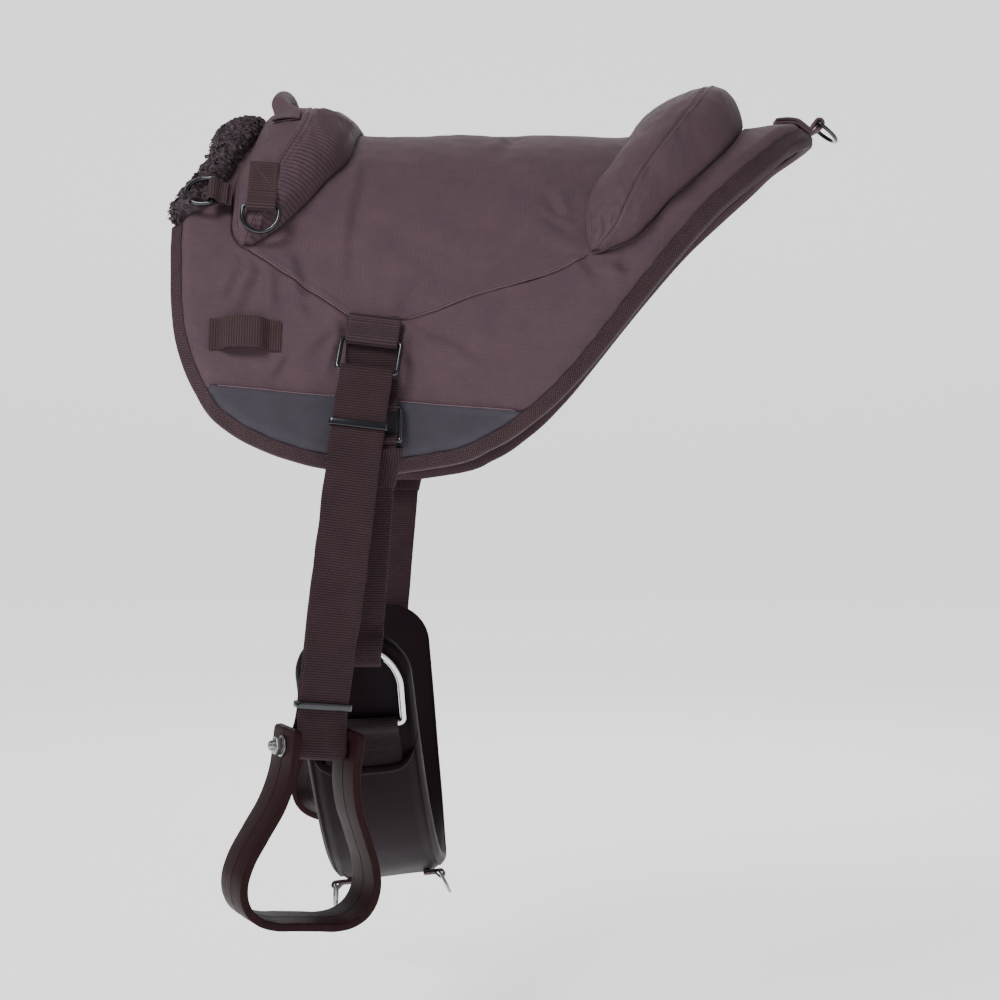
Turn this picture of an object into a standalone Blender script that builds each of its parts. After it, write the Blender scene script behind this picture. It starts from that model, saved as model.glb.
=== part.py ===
"""Bareback pad with pommel and cantle rolls, web-hung stirrups and a girth, as it lies on a horse's back.

Units are metres. +Z is up, -X is the horse's head and -Y its left side. The origin is on the spine,
at the underside of the lining. Panels are drawn flat, as (place along the spine, arc from the spine),
and then wrapped round the horse's barrel.
"""

import math

import bmesh
import bpy
import numpy as np
from mathutils import Matrix, Vector

# The horse's barrel: an upright ellipse, a little higher at the withers and the loin
barrel_half_width = 0.235
barrel_half_height = 0.332
back_rise = 0.014
back_rise_reach = 0.260
belly_slope_share = 0.12

# Clearances
seam_gap = 0.0004
seat_clearance = 0.0003
binding_clearance = 0.0009
weld_distance = 0.00001

# Outline of the pad, from the spine to its lowest edge, and the layers it is sewn from
pad_front_reach = 0.288
pad_rear_reach = 0.300
pad_drop = 0.415
fleece_thickness = 0.010
foam_thickness = 0.011
cover_thickness = 0.0014
edge_band = 0.016
edge_fleece_share = 0.6
edge_foam_share = 0.25
seat_crown = 0.004
seat_crown_x = -0.005
seat_crown_half_length = 0.120
seat_crown_drop = 0.230
patch_thickness = 0.0010
patch_gap = 0.0016
binding_thickness = 0.0013
binding_leg = 0.0125
binding_under_gap = 0.0010
binding_start = 0.199
binding_pitch = 0.0255
wither_fleece_thickness = 0.011

# Seams between the seat panel and the skirts
seam_tip_x = -0.2205
seam_tip_arc = 0.227
seam_hanger_front_x = -0.126
seam_hanger_rear_x = -0.081
seam_hanger_arc = 0.289
patch_front_x = -0.244
patch_rear_x = 0.016
patch_front_arc = 0.347
patch_rear_arc = 0.365

# Pommel and cantle rolls
pommel_height = 0.0225
pommel_side_swell_share = 0.35
roll_swell_arc = 0.120
pommel_ridge_share = 0.53
cantle_height = 0.0430
cantle_spine_ridge_share = 0.68
cantle_side_ridge_share = 0.43
cantle_ridge_arc = 0.120
roll_foam_gap = 0.0012
roll_base_gap = 0.0010
roll_tip_row_share = 0.95
rib_pitch = 0.0075
rib_height = 0.0012
rib_start_arc = 0.050
rib_end_arc = 0.200

# Grab handle over the pommel
handle_radius = 0.0082
handle_x = -0.2077
handle_top_z = 0.0733
handle_end_x = -0.199
handle_end_arc = 0.088
handle_tube_arc = 0.058
handle_end_half_width = 0.0115
handle_end_half_thickness = 0.0016
handle_arch = 0.004
handle_flat_arc = 0.077
handle_end_press = 0.0005

# One inch webbing, its D-rings and its keepers
tab_width = 0.0254
tab_webbing = 0.0016
web_gap = 0.0003
ring_wire = 0.0020
ring_half_width = 0.0158
ring_depth = 0.0235
ring_corner = 0.003
slope_room = 0.0007
tab_neck = 0.008
tab_return = 0.013
pommel_tab_length = 0.042
pommel_tab_x = -0.2060
pommel_bar_arc = 0.202
pommel_tab_press = 0.0009
pommel_ring_end_lift = 0.036
wither_tab_length = 0.0165
wither_tab_arc = 0.182
wither_bar_x = -0.2505
wither_ring_lean = math.radians(5)
tail_bar_reach = 0.0045
tail_bar_lift = 0.0205
tail_tab_run = 0.036
tail_tab_gap = 0.0013
tail_ring_lean = math.radians(39)
keeper_front_x = -0.247
keeper_length = 0.061
keeper_arc = 0.306
keeper_gap = 0.0008
keeper_bulge = 0.0085
keeper_stitched_share = 0.13

# Two inch webbing that hangs the stirrups and the girth
strap_webbing = 0.0020
hanger_width = 0.044
loop_wire = 0.0021
loop_half_width = 0.0253
loop_corner = 0.0032
hanger_x = -0.108
hanger_top_arc = 0.288
run_pitch = 0.013
hanger_neck = 0.012
hanger_return = 0.020
stirrup_bar_arc = 0.311
cinch_bar_arc = 0.364
stirrup_ring_depth = 0.0300
stirrup_ring_lean = math.radians(27)
cinch_low_bar_arc = 0.392
cinch_low_bar_lift = 0.0337

# Stirrup straps and their slides
strap_width = 0.0445
strap_length = 0.3155
strap_tilt = math.radians(5.7)
strap_layer_gap = 0.0006
strap_bar_room = 0.0002
strap_standoff = 0.0165
strap_standoff_length = 0.068
strap_straight_length = 0.125
strap_end_lift = 0.0205
strap_twist = math.radians(30)
strap_twist_start = 0.130
strap_twist_end = 0.250
strap_pitch = 0.024
strap_tail_start = 0.156
strap_widening = 0.024
strap_neck = 0.012
slide_wall = 0.0022
slide_height = 0.006
slide_clearance = 0.0004
upper_slide_place = 0.046
lower_slide_rise = 0.0350

# Stirrups
neck_half_width = 0.0283
stirrup_half_width = 0.0592
stirrup_height = 0.1445
stirrup_neck_rise = 0.020
stirrup_wall = 0.007
stirrup_width = 0.046
stirrup_edge_round = 0.0016
bolt_radius = 0.0040
bolt_clearance = 0.0004
bolt_facets = 12
roller_radius = 0.0075
roller_end_gap = 0.0006
strap_roller_room = 0.0005
nut_radius = 0.0078
nut_thickness = 0.0065
washer_radius = 0.0088
washer_thickness = 0.0012
bolt_head_radius = 0.0078
bolt_head_thickness = 0.0042
bolt_end_length = 0.0045

# Girth
girth_x = -0.109
girth_ring_x = -0.1215
girth_belly_x = -0.102
girth_pad_end_arc = 0.548
girth_pad_half_width = 0.050
girth_pad_thickness = 0.008
girth_end_radius = 0.040
girth_webbing_width = 0.067
girth_cover_top_half_width = 0.044
girth_cover_half_width = 0.0495
girth_cover_thickness = 0.004
girth_pitch_count = 8
girth_cover_pitches = 7
cinch_wire = 0.0030
cinch_half_width = 0.0385
cinch_corner = 0.0045
cinch_ring_top_arc = 0.558
cinch_ring_top_lift = 0.0174
latigo_ring_room = 0.0026
cinch_ring_bar_arc = 0.628
girth_return = 0.026
latigo_width = 0.044
latigo_room = 0.0011
latigo_fold_depth = 0.0085
latigo_widening = 0.014
knot_start = 0.011
knot_height = 0.034
knot_side = 0.0035
belly_tab_length = 0.016
belly_tab_width = 0.0160
belly_tab_sigma = 0.050
belly_ring_wire = 0.0013
belly_ring_half_width = 0.0100
belly_ring_depth = 0.0190
belly_neck = 0.006
belly_tab_press = 0.0009
rear_ring_lean = math.radians(27)

# Counts of straight runs along bends
loop_steps = 6
corner_steps = 2
bow_steps = 5

# Shares of the pad's drop and of its reach at which the front and rear edges pass
front_edge_shares = (
    (0.0, 0.868), (0.160, 0.892), (0.357, 0.927), (0.414, 0.969), (0.458, 0.997), (0.520, 1.0),
    (0.588, 0.993), (0.653, 0.986), (0.764, 0.955), (0.839, 0.906), (0.906, 0.830), (0.947, 0.729),
    (0.976, 0.611), (0.990, 0.524), (1.0, 0.406),
)
rear_edge_shares = (
    (0.0, 1.0), (0.108, 0.987), (0.198, 0.950), (0.284, 0.873), (0.383, 0.723), (0.523, 0.578),
    (0.636, 0.457), (0.781, 0.282), (0.889, 0.127), (0.959, -0.027), (0.993, -0.153), (1.0, -0.293),
)
# Shares of the seam tip's arc and of the pad's front or rear reach along the rolls' bases
pommel_front_shares = (
    (0.0, 0.764), (0.12, 0.766), (0.55, 0.783), (0.68, 0.806), (0.86, 0.810), (0.96, 0.800), (1.0, 0.777),
)
pommel_rear_shares = (
    (0.0, 0.451), (0.30, 0.459), (0.54, 0.484), (0.67, 0.540), (0.815, 0.609), (0.94, 0.690), (1.0, 0.752),
)
cantle_front_shares = (
    (0.0, 0.427), (0.32, 0.393), (0.60, 0.312), (0.715, 0.267), (0.868, 0.247), (0.96, 0.252), (1.0, 0.262),
)
cantle_rear_shares = (
    (0.0, 0.780), (0.20, 0.755), (0.458, 0.682), (0.64, 0.580), (0.758, 0.500), (0.863, 0.437),
    (0.955, 0.362), (1.0, 0.288),
)
# Shares of the reach, from the roll's tip down to the hanger, along the rear seam
rear_seam_shares = (
    (0.0, 0.259), (0.24, 0.172), (0.66, -0.087), (0.89, -0.199), (1.0, -0.270),
)
# Shares of the pad's drop at which every panel has a row of points
row_shares = (
    0.0, 0.072, 0.145, 0.217, 0.289, 0.361, 0.422, 0.4795, 0.547, 0.622, 0.6964, 0.764, 0.831,
    0.896, 0.947, 0.981, 1.0,
)
# Shares of the stirrup's height and half width along one leg, from the neck down to the tread's middle
stirrup_leg_shares = (
    (0.125, 0.478), (0.32, 0.58), (0.50, 0.78), (0.66, 0.95), (0.77, 1.0), (0.86, 0.965),
    (0.93, 0.86), (0.975, 0.70), (1.0, 0.45), (1.0, 0.2), (1.0, 0.0),
)

nylon = ("nylon", (0.125, 0.085, 0.097), 0.75, 0.0)
webbing = ("webbing", (0.052, 0.030, 0.033), 0.8, 0.0)
fleece = ("fleece", (0.045, 0.028, 0.032), 1.0, 0.0)
foam = ("foam", (0.35, 0.35, 0.35), 0.9, 0.0)
leather = ("leather", (0.066, 0.064, 0.084), 0.5, 0.0)
black_wire = ("black_wire", (0.012, 0.012, 0.014), 0.35, 0.6)
chrome = ("chrome", (0.75, 0.75, 0.76), 0.15, 1.0)
steel = ("steel", (0.55, 0.54, 0.52), 0.35, 1.0)
moulding = ("moulding", (0.045, 0.022, 0.020), 0.35, 0.0)
neoprene = ("neoprene", (0.030, 0.018, 0.022), 0.6, 0.0)

sides = (("left", -1), ("right", 1))

for old in list(bpy.data.objects):
    bpy.data.objects.remove(old)
pad_parts = bpy.data.collections.new("bareback_pad")
cutters = bpy.data.collections.new("cutters")
bpy.context.scene.collection.children.link(pad_parts)
bpy.context.scene.collection.children.link(cutters)


def smooth(points, at):
    """The value at a place on the smooth curve through (place, value) points."""
    places = [point[0] for point in points]
    values = [point[1] for point in points]
    at = min(max(at, places[0]), places[-1])
    index = min(max(int(np.searchsorted(places, at)) - 1, 0), len(places) - 2)
    slopes = np.gradient(values, places)
    span = places[index + 1] - places[index]
    t = (at - places[index]) / span
    return (
        (2 * t**3 - 3 * t**2 + 1) * values[index]
        + (t**3 - 2 * t**2 + t) * span * slopes[index]
        + (3 * t**2 - 2 * t**3) * values[index + 1]
        + (t**3 - t**2) * span * slopes[index + 1]
    )


def ease(share):
    """0 to 1 with a level start and end."""
    share = min(max(share, 0.0), 1.0)
    return share * share * (3 - 2 * share)


# The barrel's arc length from the spine, at each angle round it
barrel_angles = np.linspace(0.0, math.pi, 721)
barrel_speed = np.hypot(barrel_half_width * np.cos(barrel_angles), barrel_half_height * np.sin(barrel_angles))
barrel_steps = (barrel_speed[1:] + barrel_speed[:-1]) / 2 * np.diff(barrel_angles)
barrel_arcs = np.concatenate(([0.0], np.cumsum(barrel_steps)))
half_girth = float(barrel_arcs[-1])


def on_barrel(x, arc, lift):
    """The point above the horse's skin at this arc from the spine: negative arcs are on the left side."""
    side = -1 if arc < 0 else 1
    angle = float(np.interp(abs(arc), barrel_arcs, barrel_angles))
    out = Vector((0, side * barrel_half_height * math.sin(angle), barrel_half_width * math.cos(angle))).normalized()
    rise = back_rise * (x / back_rise_reach) ** 2 * max(math.cos(angle), 0.0)
    slope = belly_slope_share * (x - girth_belly_x) * max(-math.cos(angle), 0.0)
    y = side * barrel_half_width * math.sin(angle)
    z = barrel_half_height * (math.cos(angle) - 1) + rise + slope
    return Vector((x, y, z)) + out * lift


def out_of_barrel(x, arc):
    """The outward direction at a place on the skin."""
    return (on_barrel(x, arc, seam_tip_arc) - on_barrel(x, arc, 0)).normalized()


def along_barrel(x, arc):
    """The direction away from the spine at a place on the skin."""
    reach = seam_gap if arc >= 0 else -seam_gap
    return (on_barrel(x, arc + reach, 0) - on_barrel(x, arc, 0)).normalized()


# The outline, and the line inside it where the layers end so that the binding goes round them
edge_inset = binding_thickness + binding_clearance + seam_gap


def front_edge(arc):
    return -pad_front_reach * smooth(front_edge_shares, abs(arc) / pad_drop)


def rear_edge(arc):
    return pad_rear_reach * smooth(rear_edge_shares, abs(arc) / pad_drop)


edge_arcs = pad_drop * (1 - np.linspace(1.0, 0.0, 81) ** 2)
front_line = [(front_edge(arc), arc) for arc in edge_arcs]
rear_line = [(rear_edge(arc), arc) for arc in edge_arcs]
outline = np.array(front_line + rear_line[::-1])
outline_ways = np.gradient(outline, axis=0)
outline_ways[0] = (0, 1)
outline_ways[-1] = (0, -1)
outline_ways /= np.hypot(*outline_ways.T)[:, None]
outline_inward = np.stack((outline_ways[:, 1], -outline_ways[:, 0]), axis=1)
cover_outline = outline + outline_inward * edge_inset
cover_drop = float(cover_outline[:, 1].max())
cover_half = len(edge_arcs)


def inset_front(arc):
    return float(np.interp(abs(arc), cover_outline[:cover_half, 1], cover_outline[:cover_half, 0]))


def inset_rear(arc):
    return float(np.interp(abs(arc), cover_outline[:cover_half - 1:-1, 1], cover_outline[:cover_half - 1:-1, 0]))


def edge_distance(x, arc):
    """How far a place on the flat pattern lies from the pad's outline."""
    start = outline[:-1]
    step = outline[1:] - start
    place = np.array((x, abs(arc)))
    share = ((place - start) * step).sum(axis=1) / np.maximum((step**2).sum(axis=1), weld_distance**2)
    nearest = start + step * np.clip(share, 0, 1)[:, None]
    return float(np.hypot(*(place - nearest).T).min())


def fullness(x, arc, edge_share):
    """A layer's share of its full thickness, pressed thin at the bound edge."""
    return edge_share + (1 - edge_share) * min(edge_distance(x, arc) / edge_band, 1.0)


def crown(x, arc):
    along = 1 - ((x - seat_crown_x) / seat_crown_half_length) ** 2
    down = 1 - (arc / seat_crown_drop) ** 2
    return seat_crown * max(along, 0.0) * max(down, 0.0)


def fleece_top(x, arc):
    return fleece_thickness * fullness(x, arc, edge_fleece_share)


def foam_bottom(x, arc):
    return fleece_top(x, arc) + seam_gap


def foam_top(x, arc):
    return foam_bottom(x, arc) + foam_thickness * fullness(x, arc, edge_foam_share) + crown(x, arc)


def cover_bottom(x, arc):
    return foam_top(x, arc) + seam_gap


def cover_top(x, arc):
    return cover_bottom(x, arc) + cover_thickness


def material(finish):
    """The finish's Principled material, made once."""
    name, colour, roughness, metallic = finish
    found = bpy.data.materials.get(name)
    if found:
        return found
    made = bpy.data.materials.new(name)
    made.use_nodes = True
    shader = made.node_tree.nodes["Principled BSDF"]
    shader.inputs["Base Color"].default_value = (*colour, 1.0)
    shader.inputs["Roughness"].default_value = roughness
    shader.inputs["Metallic"].default_value = metallic
    return made


def add_object(name, data, finish, origin, collection=pad_parts):
    """A new object whose data is in world places, given its own origin."""
    data.materials.append(material(finish))
    data.transform(Matrix.Translation(-Vector(origin)))
    obj = bpy.data.objects.new(name, data)
    obj.location = origin
    collection.objects.link(obj)
    return obj


def add_mesh(name, bm, finish, origin=(0, 0, 0), collection=pad_parts):
    bmesh.ops.recalc_face_normals(bm, faces=bm.faces)
    if bm.calc_volume(signed=True) < 0:
        bmesh.ops.reverse_faces(bm, faces=bm.faces)
    mesh = bpy.data.meshes.new(name)
    bm.to_mesh(mesh)
    bm.free()
    mesh.shade_smooth()
    mesh.set_sharp_from_angle(angle=math.radians(40))
    return add_object(name, mesh, finish, origin, collection)


def flat_grid(bm, columns, rows, place):
    """Adds a grid to the flat pattern. place gives each crossing's (x, arc) from its column and row."""
    made = bmesh.ops.create_grid(bm, x_segments=columns, y_segments=rows, size=0.5)
    for vert in made["verts"]:
        column = round((vert.co.x + 0.5) * columns)
        row = round((vert.co.y + 0.5) * rows)
        vert.co = (*place(column, row), 0)


def thicken(bm):
    """Welds the flat pattern and gives it a unit thickness along z."""
    bmesh.ops.remove_doubles(bm, verts=bm.verts, dist=weld_distance)
    made = bmesh.ops.extrude_face_region(bm, geom=list(bm.faces))
    for item in made["geom"]:
        if isinstance(item, bmesh.types.BMVert):
            item.co.z = 1


def wrap(bm, low, high):
    """Lays a thickened flat pattern on the barrel, between two lifts."""
    for vert in bm.verts:
        x, arc, level = vert.co
        vert.co = on_barrel(x, arc, low(x, arc) + level * (high(x, arc) - low(x, arc)))


def rows_between(low_arc, high_arc):
    """The arcs of the panel rows from one arc to another, each end included."""
    inner = [share * pad_drop for share in row_shares]
    inner = [arc for arc in inner if low_arc + seam_gap < arc < high_arc - seam_gap]
    return [low_arc, *inner, high_arc]


def mirrored_rows(high_arc):
    right = rows_between(0.0, high_arc)
    return [-arc for arc in reversed(right[1:])] + right


def even(count):
    return [index / count for index in range(count + 1)]


# Lines on the flat pattern: the rolls' bases and the seams round the seat panel
def pommel_front(arc):
    return -pad_front_reach * smooth(pommel_front_shares, abs(arc) / seam_tip_arc)


def pommel_rear(arc):
    return -pad_front_reach * smooth(pommel_rear_shares, abs(arc) / seam_tip_arc)


def cantle_front(arc):
    return pad_rear_reach * smooth(cantle_front_shares, abs(arc) / seam_tip_arc)


def cantle_rear(arc):
    return pad_rear_reach * smooth(cantle_rear_shares, abs(arc) / seam_tip_arc)


def below_hanger(arc):
    return min(max((abs(arc) - seam_hanger_arc) / (cover_drop - seam_hanger_arc), 0.0), 1.0)


def front_seam(arc):
    """Where the seat panel ends in front: the roll's base, then a straight seam to the hanger."""
    if abs(arc) <= seam_tip_arc:
        return pommel_front(arc)
    share = min((abs(arc) - seam_tip_arc) / (seam_hanger_arc - seam_tip_arc), 1.0)
    seam = seam_tip_x + (seam_hanger_front_x - seam_tip_x) * share
    return seam + (inset_front(cover_drop) - seam_hanger_front_x) * below_hanger(arc)


def rear_seam(arc):
    if abs(arc) <= seam_tip_arc:
        return cantle_rear(arc)
    share = min((abs(arc) - seam_tip_arc) / (seam_hanger_arc - seam_tip_arc), 1.0)
    seam = pad_rear_reach * smooth(rear_seam_shares, share)
    return seam + (inset_rear(cover_drop) - seam_hanger_rear_x) * below_hanger(arc)


seat_columns = 5
front_seam_column = 3
rear_seam_column = front_seam_column + seat_columns
last_column = rear_seam_column + 3


def pad_columns(arc):
    """The places along the spine of every column of points at this arc, the same for all layers."""
    front = inset_front(arc)
    rear = inset_rear(arc)
    first = front_seam(arc)
    last = rear_seam(arc)
    front_band = front + min(edge_band, (first - front) / 2)
    rear_band = rear - min(edge_band, (rear - last) / 2)
    seat = [first + (last - first) * share for share in even(seat_columns)]
    return [front, front_band, (front_band + first) / 2, *seat, (last + rear_band) / 2, rear_band, rear]


def panel(name, patches, low, high, finish):
    """A sewn panel from patches of the common grid: (rows, first and last column, shift at each seam)."""
    bm = bmesh.new()
    for rows, first, last, first_shift, last_shift in patches:
        count = last - first

        def place(column, row):
            x = pad_columns(rows[row])[first + column]
            if column == 0:
                x += first_shift
            if column == count:
                x += last_shift
            return x, rows[row]

        flat_grid(bm, count, len(rows) - 1, place)
    thicken(bm)
    wrap(bm, low, high)
    return add_mesh(name, bm, finish)


# Lining and core: whole-pad layers, pressed thin at the bound edge
whole_pad = (mirrored_rows(cover_drop), 0, last_column, 0.0, 0.0)
panel("fleece_lining", [whole_pad], lambda x, arc: 0.0, fleece_top, fleece)
panel("foam_core", [whole_pad], foam_bottom, foam_top, foam)

# Seat panel and skirts: one cover, cut along its seams
seat_rows = mirrored_rows(seam_hanger_arc - seam_gap)
seat_patch = (seat_rows, front_seam_column, rear_seam_column, seam_gap, -seam_gap)
panel("seat_panel", [seat_patch], cover_bottom, cover_top, nylon)


def side_rows(side, low_arc, high_arc):
    rows = [side * arc for arc in rows_between(low_arc, high_arc)]
    return rows if side > 0 else rows[::-1]


for side_name, side in sides:
    front_rows = side_rows(side, binding_start, seam_hanger_arc)
    rear_rows = side_rows(side, seam_gap / 2, seam_hanger_arc)
    low_rows = side_rows(side, seam_hanger_arc, cover_drop)
    skirt = [
        (front_rows, 0, front_seam_column, 0.0, -seam_gap),
        (rear_rows, rear_seam_column, last_column, seam_gap, 0.0),
        (low_rows, 0, front_seam_column, 0.0, -seam_gap),
        (low_rows, front_seam_column, rear_seam_column, -seam_gap, seam_gap),
        (low_rows, rear_seam_column, last_column, seam_gap, 0.0),
    ]
    panel(f"{side_name}_skirt", skirt, cover_bottom, cover_top, nylon)


# Wear patches along the skirts' lower edge
def patch_low(x, arc):
    return cover_top(x, arc) + patch_gap


def patch_high(x, arc):
    return patch_low(x, arc) + patch_thickness


skirt_rows = rows_between(0.0, cover_drop)
patch_above = max(arc for arc in skirt_rows if arc < patch_front_arc)
patch_rows = [patch_above, *[arc for arc in skirt_rows if arc > patch_rear_arc]]


def patch_place(column, row):
    """The top row lies along the patch's slanting upper edge, on the skirt's columns."""
    x = pad_columns(patch_rows[row])[column]
    if row > 0:
        return x, patch_rows[row]
    below = pad_columns(patch_rows[1])[column]
    share = min(max((x - patch_front_x) / (patch_rear_x - patch_front_x), 0.0), 1.0)
    top = patch_front_arc + (patch_rear_arc - patch_front_arc) * share
    part = (top - patch_above) / (patch_rows[1] - patch_above)
    return x + (below - x) * part, top


for side_name, side in sides:
    bm = bmesh.new()
    flat_grid(bm, last_column, len(patch_rows) - 1, patch_place)
    bmesh.ops.scale(bm, vec=(1, side, 1), verts=bm.verts)
    thicken(bm)
    wrap(bm, patch_low, patch_high)
    add_mesh(f"{side_name}_wear_patch", bm, leather)

# Edge binding: a webbing folded round the edge, from the left shoulder round the tail to the right
def binding_route():
    """Even steps along the bound edge on the flat pattern, from the left front round to the right front."""
    bound = outline[(outline[:, 1] >= binding_start) | (outline[:, 0] > 0)]
    reach = np.concatenate(([0.0], np.cumsum(np.hypot(*np.diff(bound, axis=0).T))))
    steps = np.linspace(0.0, reach[-1], round(reach[-1] / binding_pitch) + 1)
    left = [(float(np.interp(step, reach, bound[:, 0])), -float(np.interp(step, reach, bound[:, 1]))) for step in steps]
    return left + [(x, -arc) for x, arc in reversed(left[:-1])]


def binding_profile(x, arc, inward_x, inward_arc):
    """The eight corners of the folded webbing across the edge."""
    def at(inward, lift):
        return on_barrel(x + inward_x * inward, arc + inward_arc * inward, lift)

    def top(inward):
        return patch_high(x + inward_x * inward, arc + inward_arc * inward) + binding_clearance

    outer = top(edge_inset)
    return [
        at(binding_leg, -binding_under_gap - binding_thickness),
        at(0, -binding_under_gap - binding_thickness),
        at(0, outer + binding_thickness),
        at(binding_leg, top(binding_leg) + binding_thickness),
        at(binding_leg, top(binding_leg)),
        at(binding_thickness, outer),
        at(binding_thickness, -binding_under_gap),
        at(binding_leg, -binding_under_gap),
    ]


def loft(bm, sections, closed=False):
    """Joins sections one after another, then either caps both ends or joins the last to the first."""
    rings = [[bm.verts.new(point) for point in section] for section in sections]
    joined = rings + rings[:1] if closed else rings
    for first, second in zip(joined, joined[1:]):
        count = len(first)
        for index in range(count):
            after = (index + 1) % count
            bm.faces.new((first[index], first[after], second[after], second[index]))
    if not closed:
        bm.faces.new(reversed(rings[0]))
        bm.faces.new(rings[-1])


route = binding_route()
binding_sections = []
for index, (x, arc) in enumerate(route):
    before = route[max(index - 1, 0)]
    after = route[min(index + 1, len(route) - 1)]
    along = Vector((after[0] - before[0], after[1] - before[1])).normalized()
    binding_sections.append(binding_profile(x, arc, -along.y, along.x))
bm = bmesh.new()
loft(bm, binding_sections)
add_mesh("edge_binding", bm, webbing)

# Fleece folded forward over the withers
wither_rows = mirrored_rows(binding_start - binding_clearance)


def wither_low(x, arc):
    return foam_top(x, arc) + seam_gap


def wither_high(x, arc):
    front = inset_front(arc)
    share = (x - front) / (pommel_front(arc) - front)
    return wither_low(x, arc) + wither_fleece_thickness * (0.4 + 0.6 * math.sin(math.pi * min(share + 0.2, 0.5)))


wither_patch = (wither_rows, 0, front_seam_column, 0.0, -seam_gap)
panel("wither_fleece", [wither_patch], wither_low, wither_high, fleece)


# Pommel and cantle rolls: a foam insert under a two-panel cover
def roll_height(arc, height, swell_share):
    swell = 1 + swell_share * ease(abs(arc) / roll_swell_arc)
    return height * swell * math.sqrt(max(1 - (abs(arc) / seam_tip_arc) ** 3, 0.0))


def roll_rise(share, ridge):
    """The roll's height share across its width, steep at both bases."""
    reach = (ridge - share) / ridge if share < ridge else (share - ridge) / (1 - ridge)
    return max(1 - min(reach, 1.0) ** 2.4, 0.0) ** 0.7


def pommel_ridge(arc):
    return pommel_ridge_share


def cantle_ridge(arc):
    share = ease(abs(arc) / cantle_ridge_arc)
    return cantle_spine_ridge_share + (cantle_side_ridge_share - cantle_spine_ridge_share) * share


def ribs(arc):
    if not rib_start_arc < abs(arc) < rib_end_arc:
        return 0.0
    return rib_height * (1 - math.cos(2 * math.pi * (abs(arc) - rib_start_arc) / rib_pitch)) / 2


roll_front_shares = (0.0, 0.12, 0.32, 0.62, 1.0)
roll_rear_shares = (0.0, 0.38, 0.68, 0.88, 1.0)


def make_roll(front, rear, ridge, height, swell_share, names, ribbed):
    """A crowned roll over the back. Its cover's panels meet along the ridge."""
    def cover_low(x, arc):
        share = min(max((x - front(arc)) / (rear(arc) - front(arc)), 0.0), 1.0)
        rise = roll_height(arc, height, swell_share) * roll_rise(share, ridge(arc))
        return cover_top(x, arc) + roll_base_gap + rise

    def cover_high(x, arc):
        return cover_low(x, arc) + cover_thickness

    def ribbed_high(x, arc):
        share = (x - front(arc)) / (rear(arc) - front(arc))
        edge = min(share - ridge(arc), 1 - share) / (1 - ridge(arc)) * len(roll_rear_shares)
        return cover_high(x, arc) + ribs(arc) * min(max(edge, 0.0), 1.0)

    def foam_low(x, arc):
        return cover_top(x, arc) + roll_base_gap

    def foam_high(x, arc):
        return cover_low(x, arc) - roll_foam_gap

    def front_place(rows, shares, shift):
        def place(column, row):
            start = front(rows[row]) + shift
            end = front(rows[row]) + (rear(rows[row]) - front(rows[row])) * ridge(rows[row]) - shift / 2
            return start + (end - start) * shares[column], rows[row]
        return place

    def rear_place(rows, shares, shift):
        def place(column, row):
            start = front(rows[row]) + (rear(rows[row]) - front(rows[row])) * ridge(rows[row]) + shift / 2
            end = rear(rows[row]) - shift
            return start + (end - start) * shares[column], rows[row]
        return place

    tip = seam_tip_arc - 2 * seam_gap
    inner = rows_between(0.0, tip)[:-1]
    right_rows = [*inner, tip * roll_tip_row_share, tip]
    rows = [-arc for arc in reversed(right_rows[1:])] + right_rows
    rear_rows = rows
    if ribbed:
        steps = round((rib_end_arc - rib_start_arc) / rib_pitch * 2)
        rib_arcs = [rib_start_arc + (rib_end_arc - rib_start_arc) * share for share in even(steps)]
        right = [arc for arc in right_rows if arc < rib_start_arc]
        right += rib_arcs + [arc for arc in right_rows if arc > rib_end_arc]
        rear_rows = [-arc for arc in reversed(right[1:])] + right

    foam_name, front_name, rear_name = names
    bm = bmesh.new()
    flat_grid(bm, len(roll_front_shares) - 1, len(rows) - 1, front_place(rows, roll_front_shares, seam_gap))
    thicken(bm)
    wrap(bm, cover_low, cover_high)
    add_mesh(front_name, bm, nylon)

    bm = bmesh.new()
    flat_grid(bm, len(roll_rear_shares) - 1, len(rear_rows) - 1, rear_place(rear_rows, roll_rear_shares, seam_gap))
    thicken(bm)
    wrap(bm, cover_low, ribbed_high if ribbed else cover_high)
    add_mesh(rear_name, bm, nylon)

    foam_rows = rows[2:-2]
    bm = bmesh.new()
    flat_grid(bm, len(roll_front_shares) - 2, len(foam_rows) - 1, front_place(foam_rows, roll_front_shares[1:], 0))
    flat_grid(bm, len(roll_rear_shares) - 2, len(foam_rows) - 1, rear_place(foam_rows, roll_rear_shares[:-1], 0))
    thicken(bm)
    wrap(bm, foam_low, foam_high)
    add_mesh(foam_name, bm, foam)
    return cover_high


pommel_names = ("pommel_foam", "pommel_top_panel", "pommel_ribbed_panel")
cantle_names = ("cantle_foam", "cantle_front_panel", "cantle_rear_panel")
pommel_top = make_roll(
    pommel_front, pommel_rear, pommel_ridge, pommel_height, pommel_side_swell_share, pommel_names, True
)
make_roll(cantle_front, cantle_rear, cantle_ridge, cantle_height, 0.0, cantle_names, False)


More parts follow.
